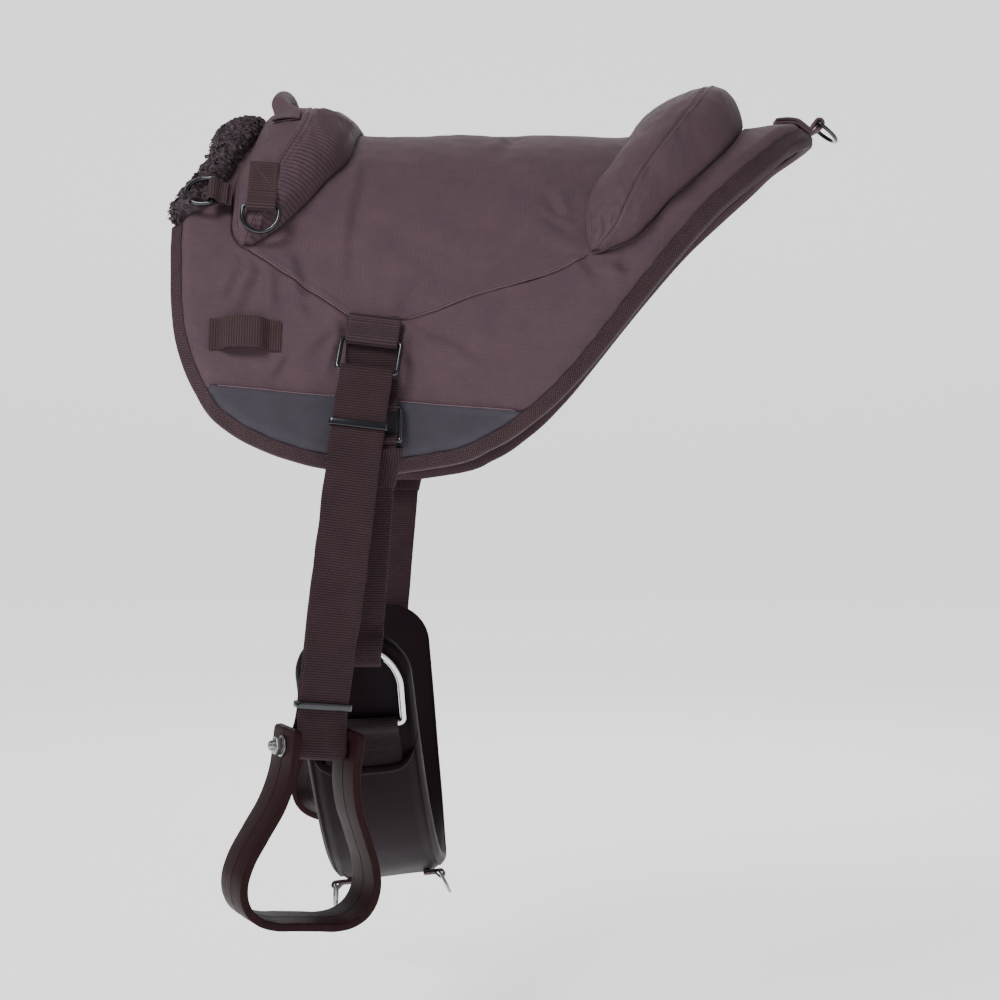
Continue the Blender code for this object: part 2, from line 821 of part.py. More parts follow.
# Webbing: a ribbon follows a path of (along, out) places, folded round bars
def folded(bm, path, width, thickness, place, closed=False):
    """Adds webbing along a path in the plane of its fold. place takes (across, along, out)."""
    count = len(path)
    sections = []
    for index, here in enumerate(path):
        here = Vector(here)
        before = Vector(path[index - 1]) if closed or index else None
        after = Vector(path[(index + 1) % count]) if closed or index < count - 1 else None
        back = (here - before).normalized() if before else (after - here).normalized()
        ahead = (after - here).normalized() if after else back
        middle = (back + ahead).normalized()
        up = Vector((-middle.y, middle.x)) * (thickness / 2 / math.sqrt((1 + back.dot(ahead)) / 2))
        low = here - up
        high = here + up
        half = width / 2
        sections.append([place(-half, *low), place(half, *low), place(half, *high), place(-half, *high)])
    loft(bm, sections, closed)


def run_steps(length):
    """Even shares for a run of webbing that follows the barrel."""
    return even(max(round(length / run_pitch), 1))


def loop_path(length, bend, spacing, neck, return_length):
    """A run to a bar at (0, 0), round it, and back on top, resting on the run beneath."""
    path = [(-length + (length - neck) * share, -bend) for share in run_steps(length - neck)]
    path += round_bar(0.0, 0.0, bend)
    rest = spacing - bend
    path += [(-neck * share, bend + (rest - bend) * ease(share)) for share in even(4)[1:]]
    path.append((-return_length, rest))
    return path


def round_bar(along, out, bend, low=-math.pi / 2, high=math.pi / 2):
    """Points round the far side of a bar, from beneath it to above it."""
    angles = [low + (high - low) * share for share in even(loop_steps)]
    return [(along + bend * math.cos(angle), out + bend * math.sin(angle)) for angle in angles]


def flat_place(x, arc, side, lift, turn=0.0):
    """Places on the barrel round a bar at (x, arc): across it, down from it and out from it."""
    def place(across, down, out):
        along = across * math.cos(turn) - down * math.sin(turn)
        drop = down * math.cos(turn) + across * math.sin(turn)
        return on_barrel(x + along, side * (arc + drop), lift + out)
    return place


def half_ring(half_width, depth, corner, rounded):
    """One half of a ring's wire, from its bar's end to the middle of its far side."""
    quarter = math.pi / 2
    points = [
        (half_width - corner + corner * math.sin(quarter * share), corner - corner * math.cos(quarter * share))
        for share in even(corner_steps)
    ]
    if rounded:
        straight = max(depth - half_width, corner)
        points += [
            (half_width * math.cos(quarter * share), straight + (depth - straight) * math.sin(quarter * share))
            for share in even(bow_steps)
        ]
    else:
        inner = half_width - corner
        points += [
            (inner + corner * math.cos(quarter * share), depth - corner + corner * math.sin(quarter * share))
            for share in even(corner_steps)
        ]
    return points


def ring_points(half_width, depth, corner, rounded):
    half = half_ring(half_width, depth, corner, rounded)
    other = [(-across, down) for across, down in reversed(half) if across > weld_distance]
    return half + other


def wire(name, centre, across, down, points, radius, finish):
    """A wire ring in the plane of two directions. Its origin is the middle of its bar."""
    curve = bpy.data.curves.new(name, "CURVE")
    curve.dimensions = "3D"
    curve.bevel_depth = radius
    curve.bevel_resolution = 2
    curve.use_fill_caps = True
    spline = curve.splines.new("POLY")
    spline.points.add(len(points) - 1)
    for point, (side_way, down_way) in zip(spline.points, points):
        point.co = (*(across * side_way + down * down_way), 1.0)
    spline.use_cyclic_u = True
    holder = bpy.data.objects.new(name, curve)
    pad_parts.objects.link(holder)
    found = bpy.data.meshes.new_from_object(holder.evaluated_get(bpy.context.evaluated_depsgraph_get()))
    bpy.data.objects.remove(holder)
    bm = bmesh.new()
    bm.from_mesh(found)
    bpy.data.meshes.remove(found)
    bmesh.ops.remove_doubles(bm, verts=bm.verts, dist=weld_distance)
    bmesh.ops.translate(bm, vec=centre, verts=bm.verts)
    return add_mesh(name, bm, finish, centre)


def combine(obj, tool, operation):
    """Cuts or joins another solid, which stays hidden as a construction aid."""
    tool.hide_render = True
    tool.display_type = "WIRE"
    step = obj.modifiers.new(tool.name, "BOOLEAN")
    step.object = tool
    step.operation = operation
    step.solver = "EXACT"


def square_to(direction, axis):
    """The direction without its part along the axis."""
    return (direction - axis * direction.dot(axis)).normalized()


def bar_frame(place, half_width):
    """The middle of a bar and its direction, where a fold of webbing holds it."""
    first = place(-half_width, 0, 0)
    last = place(half_width, 0, 0)
    return (first + last) / 2, (last - first).normalized()


def bend_of(wire_radius, thickness):
    """From a bar's middle to the middle of the webbing folded round it."""
    return wire_radius + web_gap + thickness / 2


def frame_place(centre, across, down, out):
    """Places in a fixed frame: across, down and out from its centre."""
    def place(across_way, down_way, out_way):
        return centre + across * across_way + down * down_way + out * out_way
    return place


# One inch tabs and D-rings on the pommel roll
tab_bend = bend_of(ring_wire, tab_webbing)
tab_spacing = tab_webbing + web_gap
tab_ring = ring_points(ring_half_width, ring_depth, ring_corner, True)


def pommel_crest(arc):
    """The roll's highest lift at this arc, over its ribs."""
    x = pommel_front(arc) + (pommel_rear(arc) - pommel_front(arc)) * pommel_ridge_share
    return pommel_top(x, arc) + rib_height + web_gap


for side_name, side in sides:
    def place(across, down, out):
        arc = pommel_bar_arc + min(down, 0.0)
        lift = pommel_crest(arc) + tab_webbing / 2 + tab_bend - pommel_tab_press
        return on_barrel(pommel_tab_x + across, side * (pommel_bar_arc + down), lift + out)

    bm = bmesh.new()
    folded(bm, loop_path(pommel_tab_length, tab_bend, tab_spacing, tab_neck, tab_return), tab_width, tab_webbing, place)
    add_mesh(f"{side_name}_pommel_ring_tab", bm, webbing)
    centre, across = bar_frame(place, tab_width / 2)
    far = on_barrel(pommel_tab_x, side * (pommel_bar_arc + ring_depth), pommel_ring_end_lift)
    down = square_to(far - centre, across)
    wire(f"{side_name}_pommel_d_ring", centre, across, down, tab_ring, ring_wire, black_wire)

# The same at the withers, facing forward over the fleece
sloped_bend = tab_bend + slope_room
wither_rest = wither_high(pommel_front(wither_tab_arc), wither_tab_arc) + web_gap * 2
for side_name, side in sides:
    def place(across, down, out):
        lift = wither_rest + tab_webbing / 2 + sloped_bend
        way = along_barrel(wither_bar_x, side * wither_tab_arc)
        return on_barrel(wither_bar_x - down, side * wither_tab_arc, lift + out) + way * across

    bm = bmesh.new()
    path = loop_path(wither_tab_length, sloped_bend, tab_spacing, tab_neck, tab_return)
    folded(bm, path, tab_width, tab_webbing, place)
    add_mesh(f"{side_name}_wither_ring_tab", bm, webbing)
    centre, across = bar_frame(place, tab_width / 2)
    out = out_of_barrel(wither_bar_x, side * wither_tab_arc)
    forward = square_to(Vector((-1, 0, 0)), across)
    down = forward * math.cos(wither_ring_lean) - square_to(out, across) * math.sin(wither_ring_lean)
    wire(f"{side_name}_wither_d_ring", centre, across, square_to(down, across), tab_ring, ring_wire, black_wire)


# Tail ring on its tab over the bound edge
tail_bar_x = rear_edge(0.0) + tail_bar_reach
tail_tab_start_x = rear_edge(0.0) - tail_tab_run


def tail_place(across, along, out):
    return on_barrel(tail_bar_x + along, 0.0, out) + Vector((0, across, 0))


leg_x = rear_edge(0.0) - binding_leg
edge_x = rear_edge(0.0)
bound_lift = binding_clearance + binding_thickness + tail_tab_gap + tab_webbing / 2
tail_run = [
    (tail_tab_start_x - tail_bar_x, cover_top(tail_tab_start_x, 0.0) + tail_tab_gap + tab_webbing / 2),
    (leg_x - edge_band / 2 - tail_bar_x, cover_top(leg_x - edge_band / 2, 0.0) + tail_tab_gap + tab_webbing / 2),
    (leg_x - tail_bar_x, patch_high(leg_x, 0.0) + bound_lift),
    (edge_x - tail_bar_x, patch_high(edge_x - edge_inset, 0.0) + bound_lift),
]
tail_back = [(along, out + tab_spacing) for along, out in tail_run[:1:-1]]
tail_path = tail_run + round_bar(0.0, tail_bar_lift, sloped_bend) + tail_back
bm = bmesh.new()
folded(bm, tail_path, tab_width, tab_webbing, tail_place)
add_mesh("tail_ring_tab", bm, webbing)
tail_down = Vector((math.cos(tail_ring_lean), 0, -math.sin(tail_ring_lean)))
tail_bar, tail_across = bar_frame(lambda across, along, out: tail_place(across, along, tail_bar_lift), tab_width / 2)
wire("tail_d_ring", tail_bar, tail_across, tail_down, tab_ring, ring_wire, black_wire)

# Keeper straps: each stitched down at both ends, loose between them
for side_name, side in sides:
    def place(across, along, out):
        return on_barrel(keeper_front_x + along, side * (keeper_arc + across), out)

    rest = cover_top(keeper_front_x + keeper_length / 2, keeper_arc) + keeper_gap + tab_webbing / 2
    path = []
    for share in even(10):
        loose = (share - keeper_stitched_share) / (1 - 2 * keeper_stitched_share)
        rise = math.sin(math.pi * min(max(loose, 0.0), 1.0)) ** 0.7
        path.append((keeper_length * share, rest + keeper_bulge * rise))
    bm = bmesh.new()
    folded(bm, path, tab_width, tab_webbing, place)
    add_mesh(f"{side_name}_keeper_strap", bm, webbing)


# Grab handle: a padded tube, flat where it is stitched to the roll at each end
def pommel_tilt(x, arc):
    """The pommel cover's slope along the spine."""
    return (pommel_top(x + edge_inset, arc) - pommel_top(x - edge_inset, arc)) / (2 * edge_inset)


handle_middle_lift = handle_top_z - handle_radius - back_rise * (handle_x / back_rise_reach) ** 2
handle_shares = (0.0, 0.22, 0.44, 0.60, 0.68, 0.76, 0.84, 0.92, 1.0)
handle_facets = 12
handle_sections = []
for share in [-value for value in reversed(handle_shares[1:])] + list(handle_shares):
    arc = handle_end_arc * share
    flat = ease((abs(arc) - handle_tube_arc) / (handle_flat_arc - handle_tube_arc))
    half_width = handle_radius + (handle_end_half_width - handle_radius) * flat
    half_thickness = handle_radius + (handle_end_half_thickness - handle_radius) * flat
    tilt = math.atan(pommel_tilt(handle_end_x, arc)) * flat
    end_lift = pommel_top(handle_end_x, arc) + (handle_end_half_thickness - handle_end_press) / math.cos(tilt)
    lift = (handle_middle_lift - handle_arch * share * share) * (1 - flat) + end_lift * flat
    x = handle_x + (handle_end_x - handle_x) * flat
    section = []
    for facet in even(handle_facets)[:-1]:
        angle = 2 * math.pi * facet
        along = half_width * math.cos(angle)
        out = half_thickness * math.sin(angle)
        along_x = along * math.cos(tilt) - out * math.sin(tilt)
        up = along * math.sin(tilt) + out * math.cos(tilt)
        section.append(on_barrel(x + along_x, arc, lift + up))
    handle_sections.append(section)
bm = bmesh.new()
loft(bm, handle_sections)
add_mesh("grab_handle", bm, webbing)

# Hangers of folded webbing: the girth's lies on the skirt and the stirrup's on the girth's
hanger_rest = patch_high(hanger_x, cinch_bar_arc) + web_gap * 2
hanger_bend = bend_of(loop_wire, strap_webbing)
hanger_spacing = strap_webbing + web_gap
cinch_bar_lift = hanger_rest + strap_webbing / 2 + hanger_bend
stirrup_bar_lift = cinch_bar_lift + hanger_spacing
down_z = Vector((0, 0, -1))


def turned(bm, profile, centre, axis, facets):
    """Adds a solid of revolution. The profile is a closed run of (height along the axis, radius)."""
    first = square_to(down_z if abs(axis.z) < 0.9 else Vector((1, 0, 0)), axis)
    second = axis.cross(first)
    rings = []
    for height, radius in profile:
        ring = []
        for share in even(facets)[:-1]:
            angle = 2 * math.pi * share
            ring.append(bm.verts.new(
                centre + axis * height + (first * math.cos(angle) + second * math.sin(angle)) * radius
            ))
        rings.append(ring)
    for index, ring in enumerate(rings):
        after = rings[(index + 1) % len(rings)]
        if profile[index][1] == 0 and profile[(index + 1) % len(rings)][1] == 0:
            continue
        for facet in range(facets):
            beyond = (facet + 1) % facets
            bm.faces.new((ring[facet], ring[beyond], after[beyond], after[facet]))
    bmesh.ops.remove_doubles(bm, verts=bm.verts, dist=weld_distance)


def collar(bm, place, half_width, low_out, high_out, wall, half_height):
    """Adds a flat-sided band round webbing: place takes (across, along, out)."""
    chamfer = wall / 2
    inner = [(-half_width, low_out), (half_width, low_out), (half_width, high_out), (-half_width, high_out)]
    reach = half_width + wall
    low = low_out - wall
    high = high_out + wall
    outer = [
        (-reach + chamfer, low), (reach - chamfer, low), (reach, low + chamfer), (reach, high - chamfer),
        (reach - chamfer, high), (-reach + chamfer, high), (-reach, high - chamfer), (-reach, low + chamfer),
    ]
    rings = []
    for level in (-half_height, half_height):
        rings.append([bm.verts.new(place(across, level, out)) for across, out in outer])
        rings.append([bm.verts.new(place(across, level, out)) for across, out in inner])
    outer_low, inner_low, outer_high, inner_high = rings
    for low_ring, high_ring in ((outer_low, outer_high), (inner_low, inner_high)):
        count = len(low_ring)
        for index in range(count):
            after = (index + 1) % count
            bm.faces.new((low_ring[index], low_ring[after], high_ring[after], high_ring[index]))
    for outside, inside in ((outer_low, inner_low), (outer_high, inner_high)):
        for index in range(4):
            after = (index + 1) % 4
            bm.faces.new((outside[2 * index], outside[2 * index + 1], inside[after], inside[index]))
            corner = (2 * index + 2) % 8
            bm.faces.new((outside[2 * index + 1], outside[corner], inside[after]))


# Offsets of the stirrup strap's three layers from its middle line, and of the roller from it
layer_pitch = strap_webbing + strap_layer_gap
front_layer = layer_pitch / 2
middle_layer = -layer_pitch / 2
back_layer = -layer_pitch * 3 / 2
strap_bend = hanger_bend + strap_bar_room
roller_bend = roller_radius + strap_roller_room + strap_webbing / 2


def strap_offset(along):
    """How far out from the vertical under its bar the strap hangs, straight past the pad's bound edge."""
    slope = strap_standoff / strap_standoff_length
    if along <= strap_standoff_length:
        return slope * along
    share = min((along - strap_standoff_length) / (strap_straight_length - strap_standoff_length), 1.0)
    return strap_standoff + (strap_end_lift - strap_standoff) * math.sin(math.pi / 2 * share)


def strap_runs(start, end):
    steps = max(round(abs(end - start) / strap_pitch), 1)
    return [start + (end - start) * share for share in even(steps)]


def stirrup_band(name, place, bolt_axis):
    """The bell-shaped band of a stirrup: place takes (across, down, out) from its bolt."""
    legs = [(-stirrup_neck_rise, neck_half_width), (0.0, neck_half_width)]
    places = np.linspace(0.0, 1.0, len(stirrup_leg_shares))
    heights = tuple(zip(places, [share[0] for share in stirrup_leg_shares]))
    widths = tuple(zip(places, [share[1] for share in stirrup_leg_shares]))
    for share in even((len(stirrup_leg_shares) - 1) * 2):
        legs.append((smooth(heights, share) * stirrup_height, smooth(widths, share) * stirrup_half_width))
    path = [(-across, down) for down, across in legs]
    path += [(across, down) for down, across in reversed(legs[:-1])]
    bm = bmesh.new()
    folded(bm, path, stirrup_width, stirrup_wall, lambda out, across, down: place(across, down, out))
    edges = [edge for edge in bm.edges if edge.calc_face_angle(0.0) > math.radians(60)]
    bmesh.ops.bevel(bm, geom=edges, offset=stirrup_edge_round, segments=2, profile=0.5, affect="EDGES")
    obj = add_mesh(name, bm, moulding, place(0, 0, 0))
    bm = bmesh.new()
    reach = neck_half_width + stirrup_wall
    hole = bolt_radius + bolt_clearance
    profile = [(-reach, 0.0), (-reach, hole), (reach, hole), (reach, 0.0)]
    turned(bm, profile, place(0, 0, 0), bolt_axis, bolt_facets)
    combine(obj, add_mesh(f"{name}_bolt_hole", bm, moulding, place(0, 0, 0), cutters), "DIFFERENCE")


loop_ring = ring_points(loop_half_width, stirrup_ring_depth, loop_corner, False)
for side_name, side in sides:
    place = flat_place(hanger_x, cinch_bar_arc, side, cinch_bar_lift)
    path = loop_path(cinch_bar_arc - hanger_top_arc, hanger_bend, hanger_spacing, hanger_neck, hanger_return)
    bm = bmesh.new()
    folded(bm, path, hanger_width, strap_webbing, place)
    add_mesh(f"{side_name}_cinch_hanger", bm, webbing)
    centre, across = bar_frame(place, hanger_width / 2)
    low_bar = on_barrel(hanger_x, side * cinch_low_bar_arc, cinch_low_bar_lift)
    down = square_to(low_bar - centre, across)
    depth = (low_bar - centre).dot(down)
    points = ring_points(loop_half_width, depth, loop_corner, False)
    wire(f"{side_name}_cinch_ring", centre, across, down, points, loop_wire, black_wire)

    # Stirrup hanger and its ring
    place = flat_place(hanger_x, stirrup_bar_arc, side, stirrup_bar_lift, strap_tilt)
    path = loop_path(stirrup_bar_arc - hanger_top_arc, hanger_bend, hanger_spacing, hanger_neck, hanger_return)
    bm = bmesh.new()
    folded(bm, path, hanger_width, strap_webbing, place)
    add_mesh(f"{side_name}_stirrup_hanger", bm, webbing)
    centre, across = bar_frame(place, hanger_width / 2)
    strap_down = square_to(down_z, across)
    outward = across.cross(strap_down) * side
    down = strap_down * math.cos(stirrup_ring_lean) + outward * math.sin(stirrup_ring_lean)
    wire(f"{side_name}_stirrup_ring", centre, across, down, loop_ring, loop_wire, black_wire)

    # Stirrup strap: one length, folded over the ring and round the stirrup's bolt, in three layers
    strap_top = centre + down * stirrup_ring_depth

    def strap_frame(along):
        share = (along - strap_twist_start) / (strap_twist_end - strap_twist_start)
        twist = strap_twist * ease(share)
        middle = strap_top + strap_down * along + outward * strap_offset(along)
        turned_across = across * math.cos(twist) - outward * math.sin(twist)
        return middle, turned_across, outward * math.cos(twist) + across * math.sin(twist)

    def strap_place(across_way, along, out):
        middle, turned_across, turned_out = strap_frame(along)
        return middle + turned_across * across_way + turned_out * out

    widening = strap_length - strap_widening
    roller_out = middle_layer / 2
    path = [(along, back_layer) for along in strap_runs(strap_tail_start, widening)]
    bottom_low = roller_out - roller_bend
    bottom_high = roller_out + roller_bend
    for share in even(4)[1:-1]:
        path.append((widening + strap_widening * share, back_layer + (bottom_low - back_layer) * ease(share)))
    path += round_bar(strap_length, roller_out, roller_bend)
    for share in reversed(even(4)[1:-1]):
        path.append((widening + strap_widening * share, front_layer + (bottom_high - front_layer) * ease(share)))
    path += [(along, front_layer) for along in strap_runs(widening, strap_neck)]
    path.append((strap_neck / 2, (front_layer + strap_bend) / 2))
    path += [(-along, -out) for along, out in round_bar(0.0, 0.0, strap_bend)]
    path.append((strap_neck / 2, (middle_layer - strap_bend) / 2))
    path += [(along, middle_layer) for along in strap_runs(strap_neck, widening)]
    bm = bmesh.new()
    folded(bm, path, strap_width, strap_webbing, strap_place)
    bmesh.ops.triangulate(bm, faces=bm.faces)
    add_mesh(f"{side_name}_stirrup_strap", bm, webbing, strap_top)

    # Slides over the strap's layers
    for slide_name, along, low_layer in (
        ("upper", upper_slide_place, middle_layer), ("lower", strap_length - lower_slide_rise, back_layer),
    ):
        middle, turned_across, turned_out = strap_frame(along)
        way = (strap_frame(along + slide_height)[0] - middle).normalized()
        slide_out = square_to(turned_out, way)
        slide_place = frame_place(middle, turned_across, way, slide_out)
        half_layer = strap_webbing / 2 + slide_clearance
        bm = bmesh.new()
        collar(
            bm, slide_place, strap_width / 2 + slide_clearance, low_layer - half_layer,
            front_layer + half_layer, slide_wall, slide_height / 2,
        )
        add_mesh(f"{side_name}_{slide_name}_slide", bm, black_wire, middle)

    # Stirrup, with the bolt and roller through its neck
    middle, bolt_axis, stirrup_out = strap_frame(strap_length)
    bolt_centre = middle + stirrup_out * roller_out
    band_place = frame_place(bolt_centre, bolt_axis, strap_down, stirrup_out)
    stirrup_band(f"{side_name}_stirrup", band_place, bolt_axis)
    face = neck_half_width + stirrup_wall / 2 + web_gap
    washer_face = face + washer_thickness
    nut_end = washer_face + nut_thickness
    bolt_end = nut_end + bolt_end_length
    head_end = face + bolt_head_thickness
    hole = bolt_radius + bolt_clearance
    bm = bmesh.new()
    turned(bm, [
        (-bolt_end, 0.0), (-bolt_end, bolt_radius), (-washer_face, bolt_radius), (-washer_face, washer_radius),
        (-face, washer_radius), (-face, bolt_radius), (face, bolt_radius), (face, bolt_head_radius),
        ((face + head_end) / 2, bolt_head_radius), (head_end, bolt_head_radius * stirrup_leg_shares[0][1]),
        (head_end, 0.0),
    ], bolt_centre, bolt_axis, bolt_facets)
    bolt = add_mesh(f"{side_name}_stirrup_bolt", bm, steel, bolt_centre)
    bm = bmesh.new()
    nut_start = (face + washer_face) / 2
    nut_profile = [(-nut_start, 0.0), (-nut_start, nut_radius), (-nut_end, nut_radius), (-nut_end, 0.0)]
    turned(bm, nut_profile, bolt_centre, bolt_axis, 6)
    combine(bolt, add_mesh(f"{side_name}_stirrup_nut", bm, steel, bolt_centre, cutters), "UNION")
    roller_end = neck_half_width - stirrup_wall / 2 - roller_end_gap
    bm = bmesh.new()
    turned(bm, [
        (-roller_end, hole), (-roller_end, roller_radius), (roller_end, roller_radius), (roller_end, hole),
    ], bolt_centre, bolt_axis, bolt_facets)
    add_mesh(f"{side_name}_bolt_roller", bm, moulding, bolt_centre)


# Girth: places across its width, along it from under the belly and out from the skin
bar_sigma = half_girth - cinch_ring_bar_arc
girth_pitch = bar_sigma / girth_pitch_count
girth_pad_end = half_girth - girth_pad_end_arc


def girth_middle(sigma):
    return girth_belly_x + (girth_ring_x - girth_belly_x) * (abs(sigma) / bar_sigma) ** 1.3


def girth_place(across, sigma, lift):
    arc = half_girth - abs(sigma)
    return on_barrel(girth_middle(sigma) + across, arc if sigma > 0 else -arc, lift)


def girth_sheet(name, sigmas, half_width, low, high, finish):
    """A sheet round the belly, thinner along its two long edges."""
    columns = (-1.0, -0.8, 0.0, 0.8, 1.0)
    bm = bmesh.new()

    def place(column, row):
        return columns[column] * half_width(sigmas[row]), sigmas[row]

    flat_grid(bm, len(columns) - 1, len(sigmas) - 1, place)
    thicken(bm)
    for vert in bm.verts:
        across, sigma, level = vert.co
        share = 1.0 if abs(across) < half_width(sigma) * 0.9 else edge_fleece_share
        vert.co = girth_place(across, sigma, low + level * share * (high - low))
    add_mesh(name, bm, finish)


def mirrored(values):
    return [-value for value in reversed(values) if value > 0] + list(values)


def pad_half_width(sigma):
    into = girth_pad_end - abs(sigma)
    if into >= girth_end_radius:
        return girth_pad_half_width
    cut = girth_end_radius - math.sqrt(max(girth_end_radius**2 - (girth_end_radius - into) ** 2, 0.0))
    return girth_pad_half_width - cut


def cover_half_width(sigma):
    share = ease((girth_cover_end - abs(sigma)) / (girth_cover_end / 2))
    return girth_cover_top_half_width + (girth_cover_half_width - girth_cover_top_half_width) * share


steps = math.floor((girth_pad_end - girth_end_radius) / girth_pitch)
pad_sigmas = [girth_pitch * index for index in range(steps + 1)]
pad_sigmas += [girth_pad_end - girth_end_radius * share for share in (0.85, 0.5, 0.22, 0.06, 0.0)]
girth_sheet("girth_pad", mirrored(pad_sigmas), pad_half_width, 0.0, girth_pad_thickness, neoprene)
webbing_low = girth_pad_thickness + web_gap
webbing_lift = webbing_low + strap_webbing / 2
girth_cover_end = girth_pitch * girth_cover_pitches
cover_sigmas = [girth_pitch * index for index in range(girth_cover_pitches + 1)]
cover_low = webbing_low + strap_webbing + web_gap
cover_high = cover_low + girth_cover_thickness
girth_sheet("girth_cover", mirrored(cover_sigmas), cover_half_width, cover_low, cover_high, neoprene)

# Girth webbing: under the belly and folded round the bar of the ring at each end
girth_bend = bend_of(cinch_wire, strap_webbing)
girth_bar_lift = webbing_lift + girth_bend
back_lift = webbing_lift + hanger_spacing
back_end = bar_sigma - girth_return
run = [girth_pitch * index for index in range(girth_pitch_count + 1)]
half_path = [(sigma, webbing_lift) for sigma in run[:-1]]
half_path += round_bar(bar_sigma, girth_bar_lift, girth_bend)
for share in even(4)[1:]:
    sigma = bar_sigma - hanger_neck * share
    half_path.append((sigma, girth_bar_lift + girth_bend + (back_lift - girth_bar_lift - girth_bend) * ease(share)))
half_path.append((back_end, back_lift))
path = [(-sigma, lift) for sigma, lift in reversed(half_path[1:])] + half_path
bm = bmesh.new()
folded(bm, path, girth_webbing_width, strap_webbing, girth_place)
add_mesh("girth_webbing", bm, webbing)

# Latigos: a closed loop of webbing from each cinch ring to the girth's ring, held by a knot
for side_name, side in sides:
    top_bar = on_barrel(hanger_x, side * cinch_low_bar_arc, cinch_low_bar_lift)
    ring_top = on_barrel(girth_ring_x, side * cinch_ring_top_arc, cinch_ring_top_lift)

    def bar_place(across, along, out):
        return girth_place(across, side * (bar_sigma - along), girth_bar_lift + out)

    ring_bar, across = bar_frame(bar_place, girth_webbing_width / 2)
    ring_down = square_to(ring_bar - ring_top, across)
    depth = (ring_bar - ring_top).dot(ring_down)
    points = ring_points(cinch_half_width, depth, cinch_corner, True)
    wire(f"{side_name}_cinch_d_ring", ring_bar, across, -ring_down, points, cinch_wire, chrome)

    latigo_down = (ring_top - top_bar).normalized()
    fold = ring_top + latigo_down * latigo_fold_depth
    latigo_out = square_to(square_to(Vector((0, side, 0)), Vector((1, 0, 0))), latigo_down)
    latigo_across = Vector((1, 0, 0))
    place = frame_place(top_bar, latigo_across, latigo_down, latigo_out)
    length = (fold - top_bar).length
    top_bend = hanger_bend + latigo_room
    low_bend = girth_bend + latigo_ring_room
    half_gap = (strap_webbing + web_gap * 2) / 2
    wide = length - latigo_fold_depth - cinch_wire - web_gap * 2
    narrow = wide - latigo_widening
    front = [
        (latigo_widening * share, top_bend + (half_gap - top_bend) * ease(share)) for share in even(3)[1:]
    ]
    front += [(latigo_widening + (narrow - latigo_widening) * share, half_gap) for share in even(3)[1:]]
    front += [
        (narrow + latigo_widening * share, half_gap + (low_bend - half_gap) * ease(share))
        for share in even(3)[1:]
    ]
    back = [(along, -out) for along, out in reversed(front)]
    top = [(-along, -out) for along, out in round_bar(0.0, 0.0, top_bend)]
    path = front + list(reversed(round_bar(length, 0.0, low_bend))) + back + list(reversed(top))
    bm = bmesh.new()
    folded(bm, path, latigo_width, strap_webbing, place, True)
    knot_place = frame_place(
        top_bar + latigo_down * (knot_start + knot_height / 2), latigo_across, latigo_down, latigo_out
    )
    latigo = add_mesh(f"{side_name}_latigo", bm, webbing, top_bar)
    bm = bmesh.new()
    half_layers = half_gap + strap_webbing / 2 - web_gap
    half_width = latigo_width / 2 + knot_side - strap_webbing
    collar(bm, knot_place, half_width, -half_layers, half_layers, strap_webbing, knot_height / 2)
    combine(latigo, add_mesh(f"{side_name}_latigo_knot", bm, webbing, top_bar, cutters), "UNION")

# Small rings under the belly, on tabs at the cover's front and rear edges
belly_bend = bend_of(belly_ring_wire, tab_webbing) + slope_room
belly_ring = ring_points(belly_ring_half_width, belly_ring_depth, ring_corner / 2, True)
for ring_name, way, lean in (("front", -1, 0.0), ("rear", 1, rear_ring_lean)):
    bm = bmesh.new()
    reach = girth_cover_half_width - web_gap * 2
    bar_lift = cover_high + web_gap * 2 + tab_webbing / 2 + belly_bend - belly_tab_press
    belly_across = girth_place(way * reach, web_gap - belly_tab_sigma, 0) - girth_place(way * reach, -belly_tab_sigma, 0)
    belly_across.normalize()

    def place(across, along, out, way=way, reach=reach, bar_lift=bar_lift):
        here = girth_place(way * (reach + along), -belly_tab_sigma, bar_lift + out)
        return here + belly_across * across

    path = loop_path(belly_tab_length, belly_bend, tab_spacing, belly_neck, belly_tab_length - web_gap)
    folded(bm, path, belly_tab_width, tab_webbing, place)
    add_mesh(f"{ring_name}_belly_ring_tab", bm, webbing)
    centre, across = bar_frame(place, belly_tab_width / 2)
    down = square_to(Vector((way * math.sin(lean), 0, -math.cos(lean))), across)
    wire(f"{ring_name}_belly_d_ring", centre, across, down, belly_ring, belly_ring_wire, steel)
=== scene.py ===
import math

import bmesh
import bpy
import numpy as np
from mathutils import Matrix, Vector


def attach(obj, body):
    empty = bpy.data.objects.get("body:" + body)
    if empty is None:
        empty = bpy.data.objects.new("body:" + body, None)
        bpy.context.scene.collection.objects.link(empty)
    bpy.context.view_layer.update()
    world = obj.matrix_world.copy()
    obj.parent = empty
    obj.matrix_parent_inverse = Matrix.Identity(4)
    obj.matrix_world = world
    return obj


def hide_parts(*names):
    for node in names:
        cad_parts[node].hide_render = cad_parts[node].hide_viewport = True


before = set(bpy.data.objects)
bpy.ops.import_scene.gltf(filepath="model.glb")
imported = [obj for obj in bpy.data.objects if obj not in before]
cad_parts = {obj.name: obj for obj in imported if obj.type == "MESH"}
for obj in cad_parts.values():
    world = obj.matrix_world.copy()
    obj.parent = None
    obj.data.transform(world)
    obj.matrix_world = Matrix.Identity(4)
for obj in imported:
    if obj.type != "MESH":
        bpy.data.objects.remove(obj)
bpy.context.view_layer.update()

bpy.ops.object.select_all(action="DESELECT")

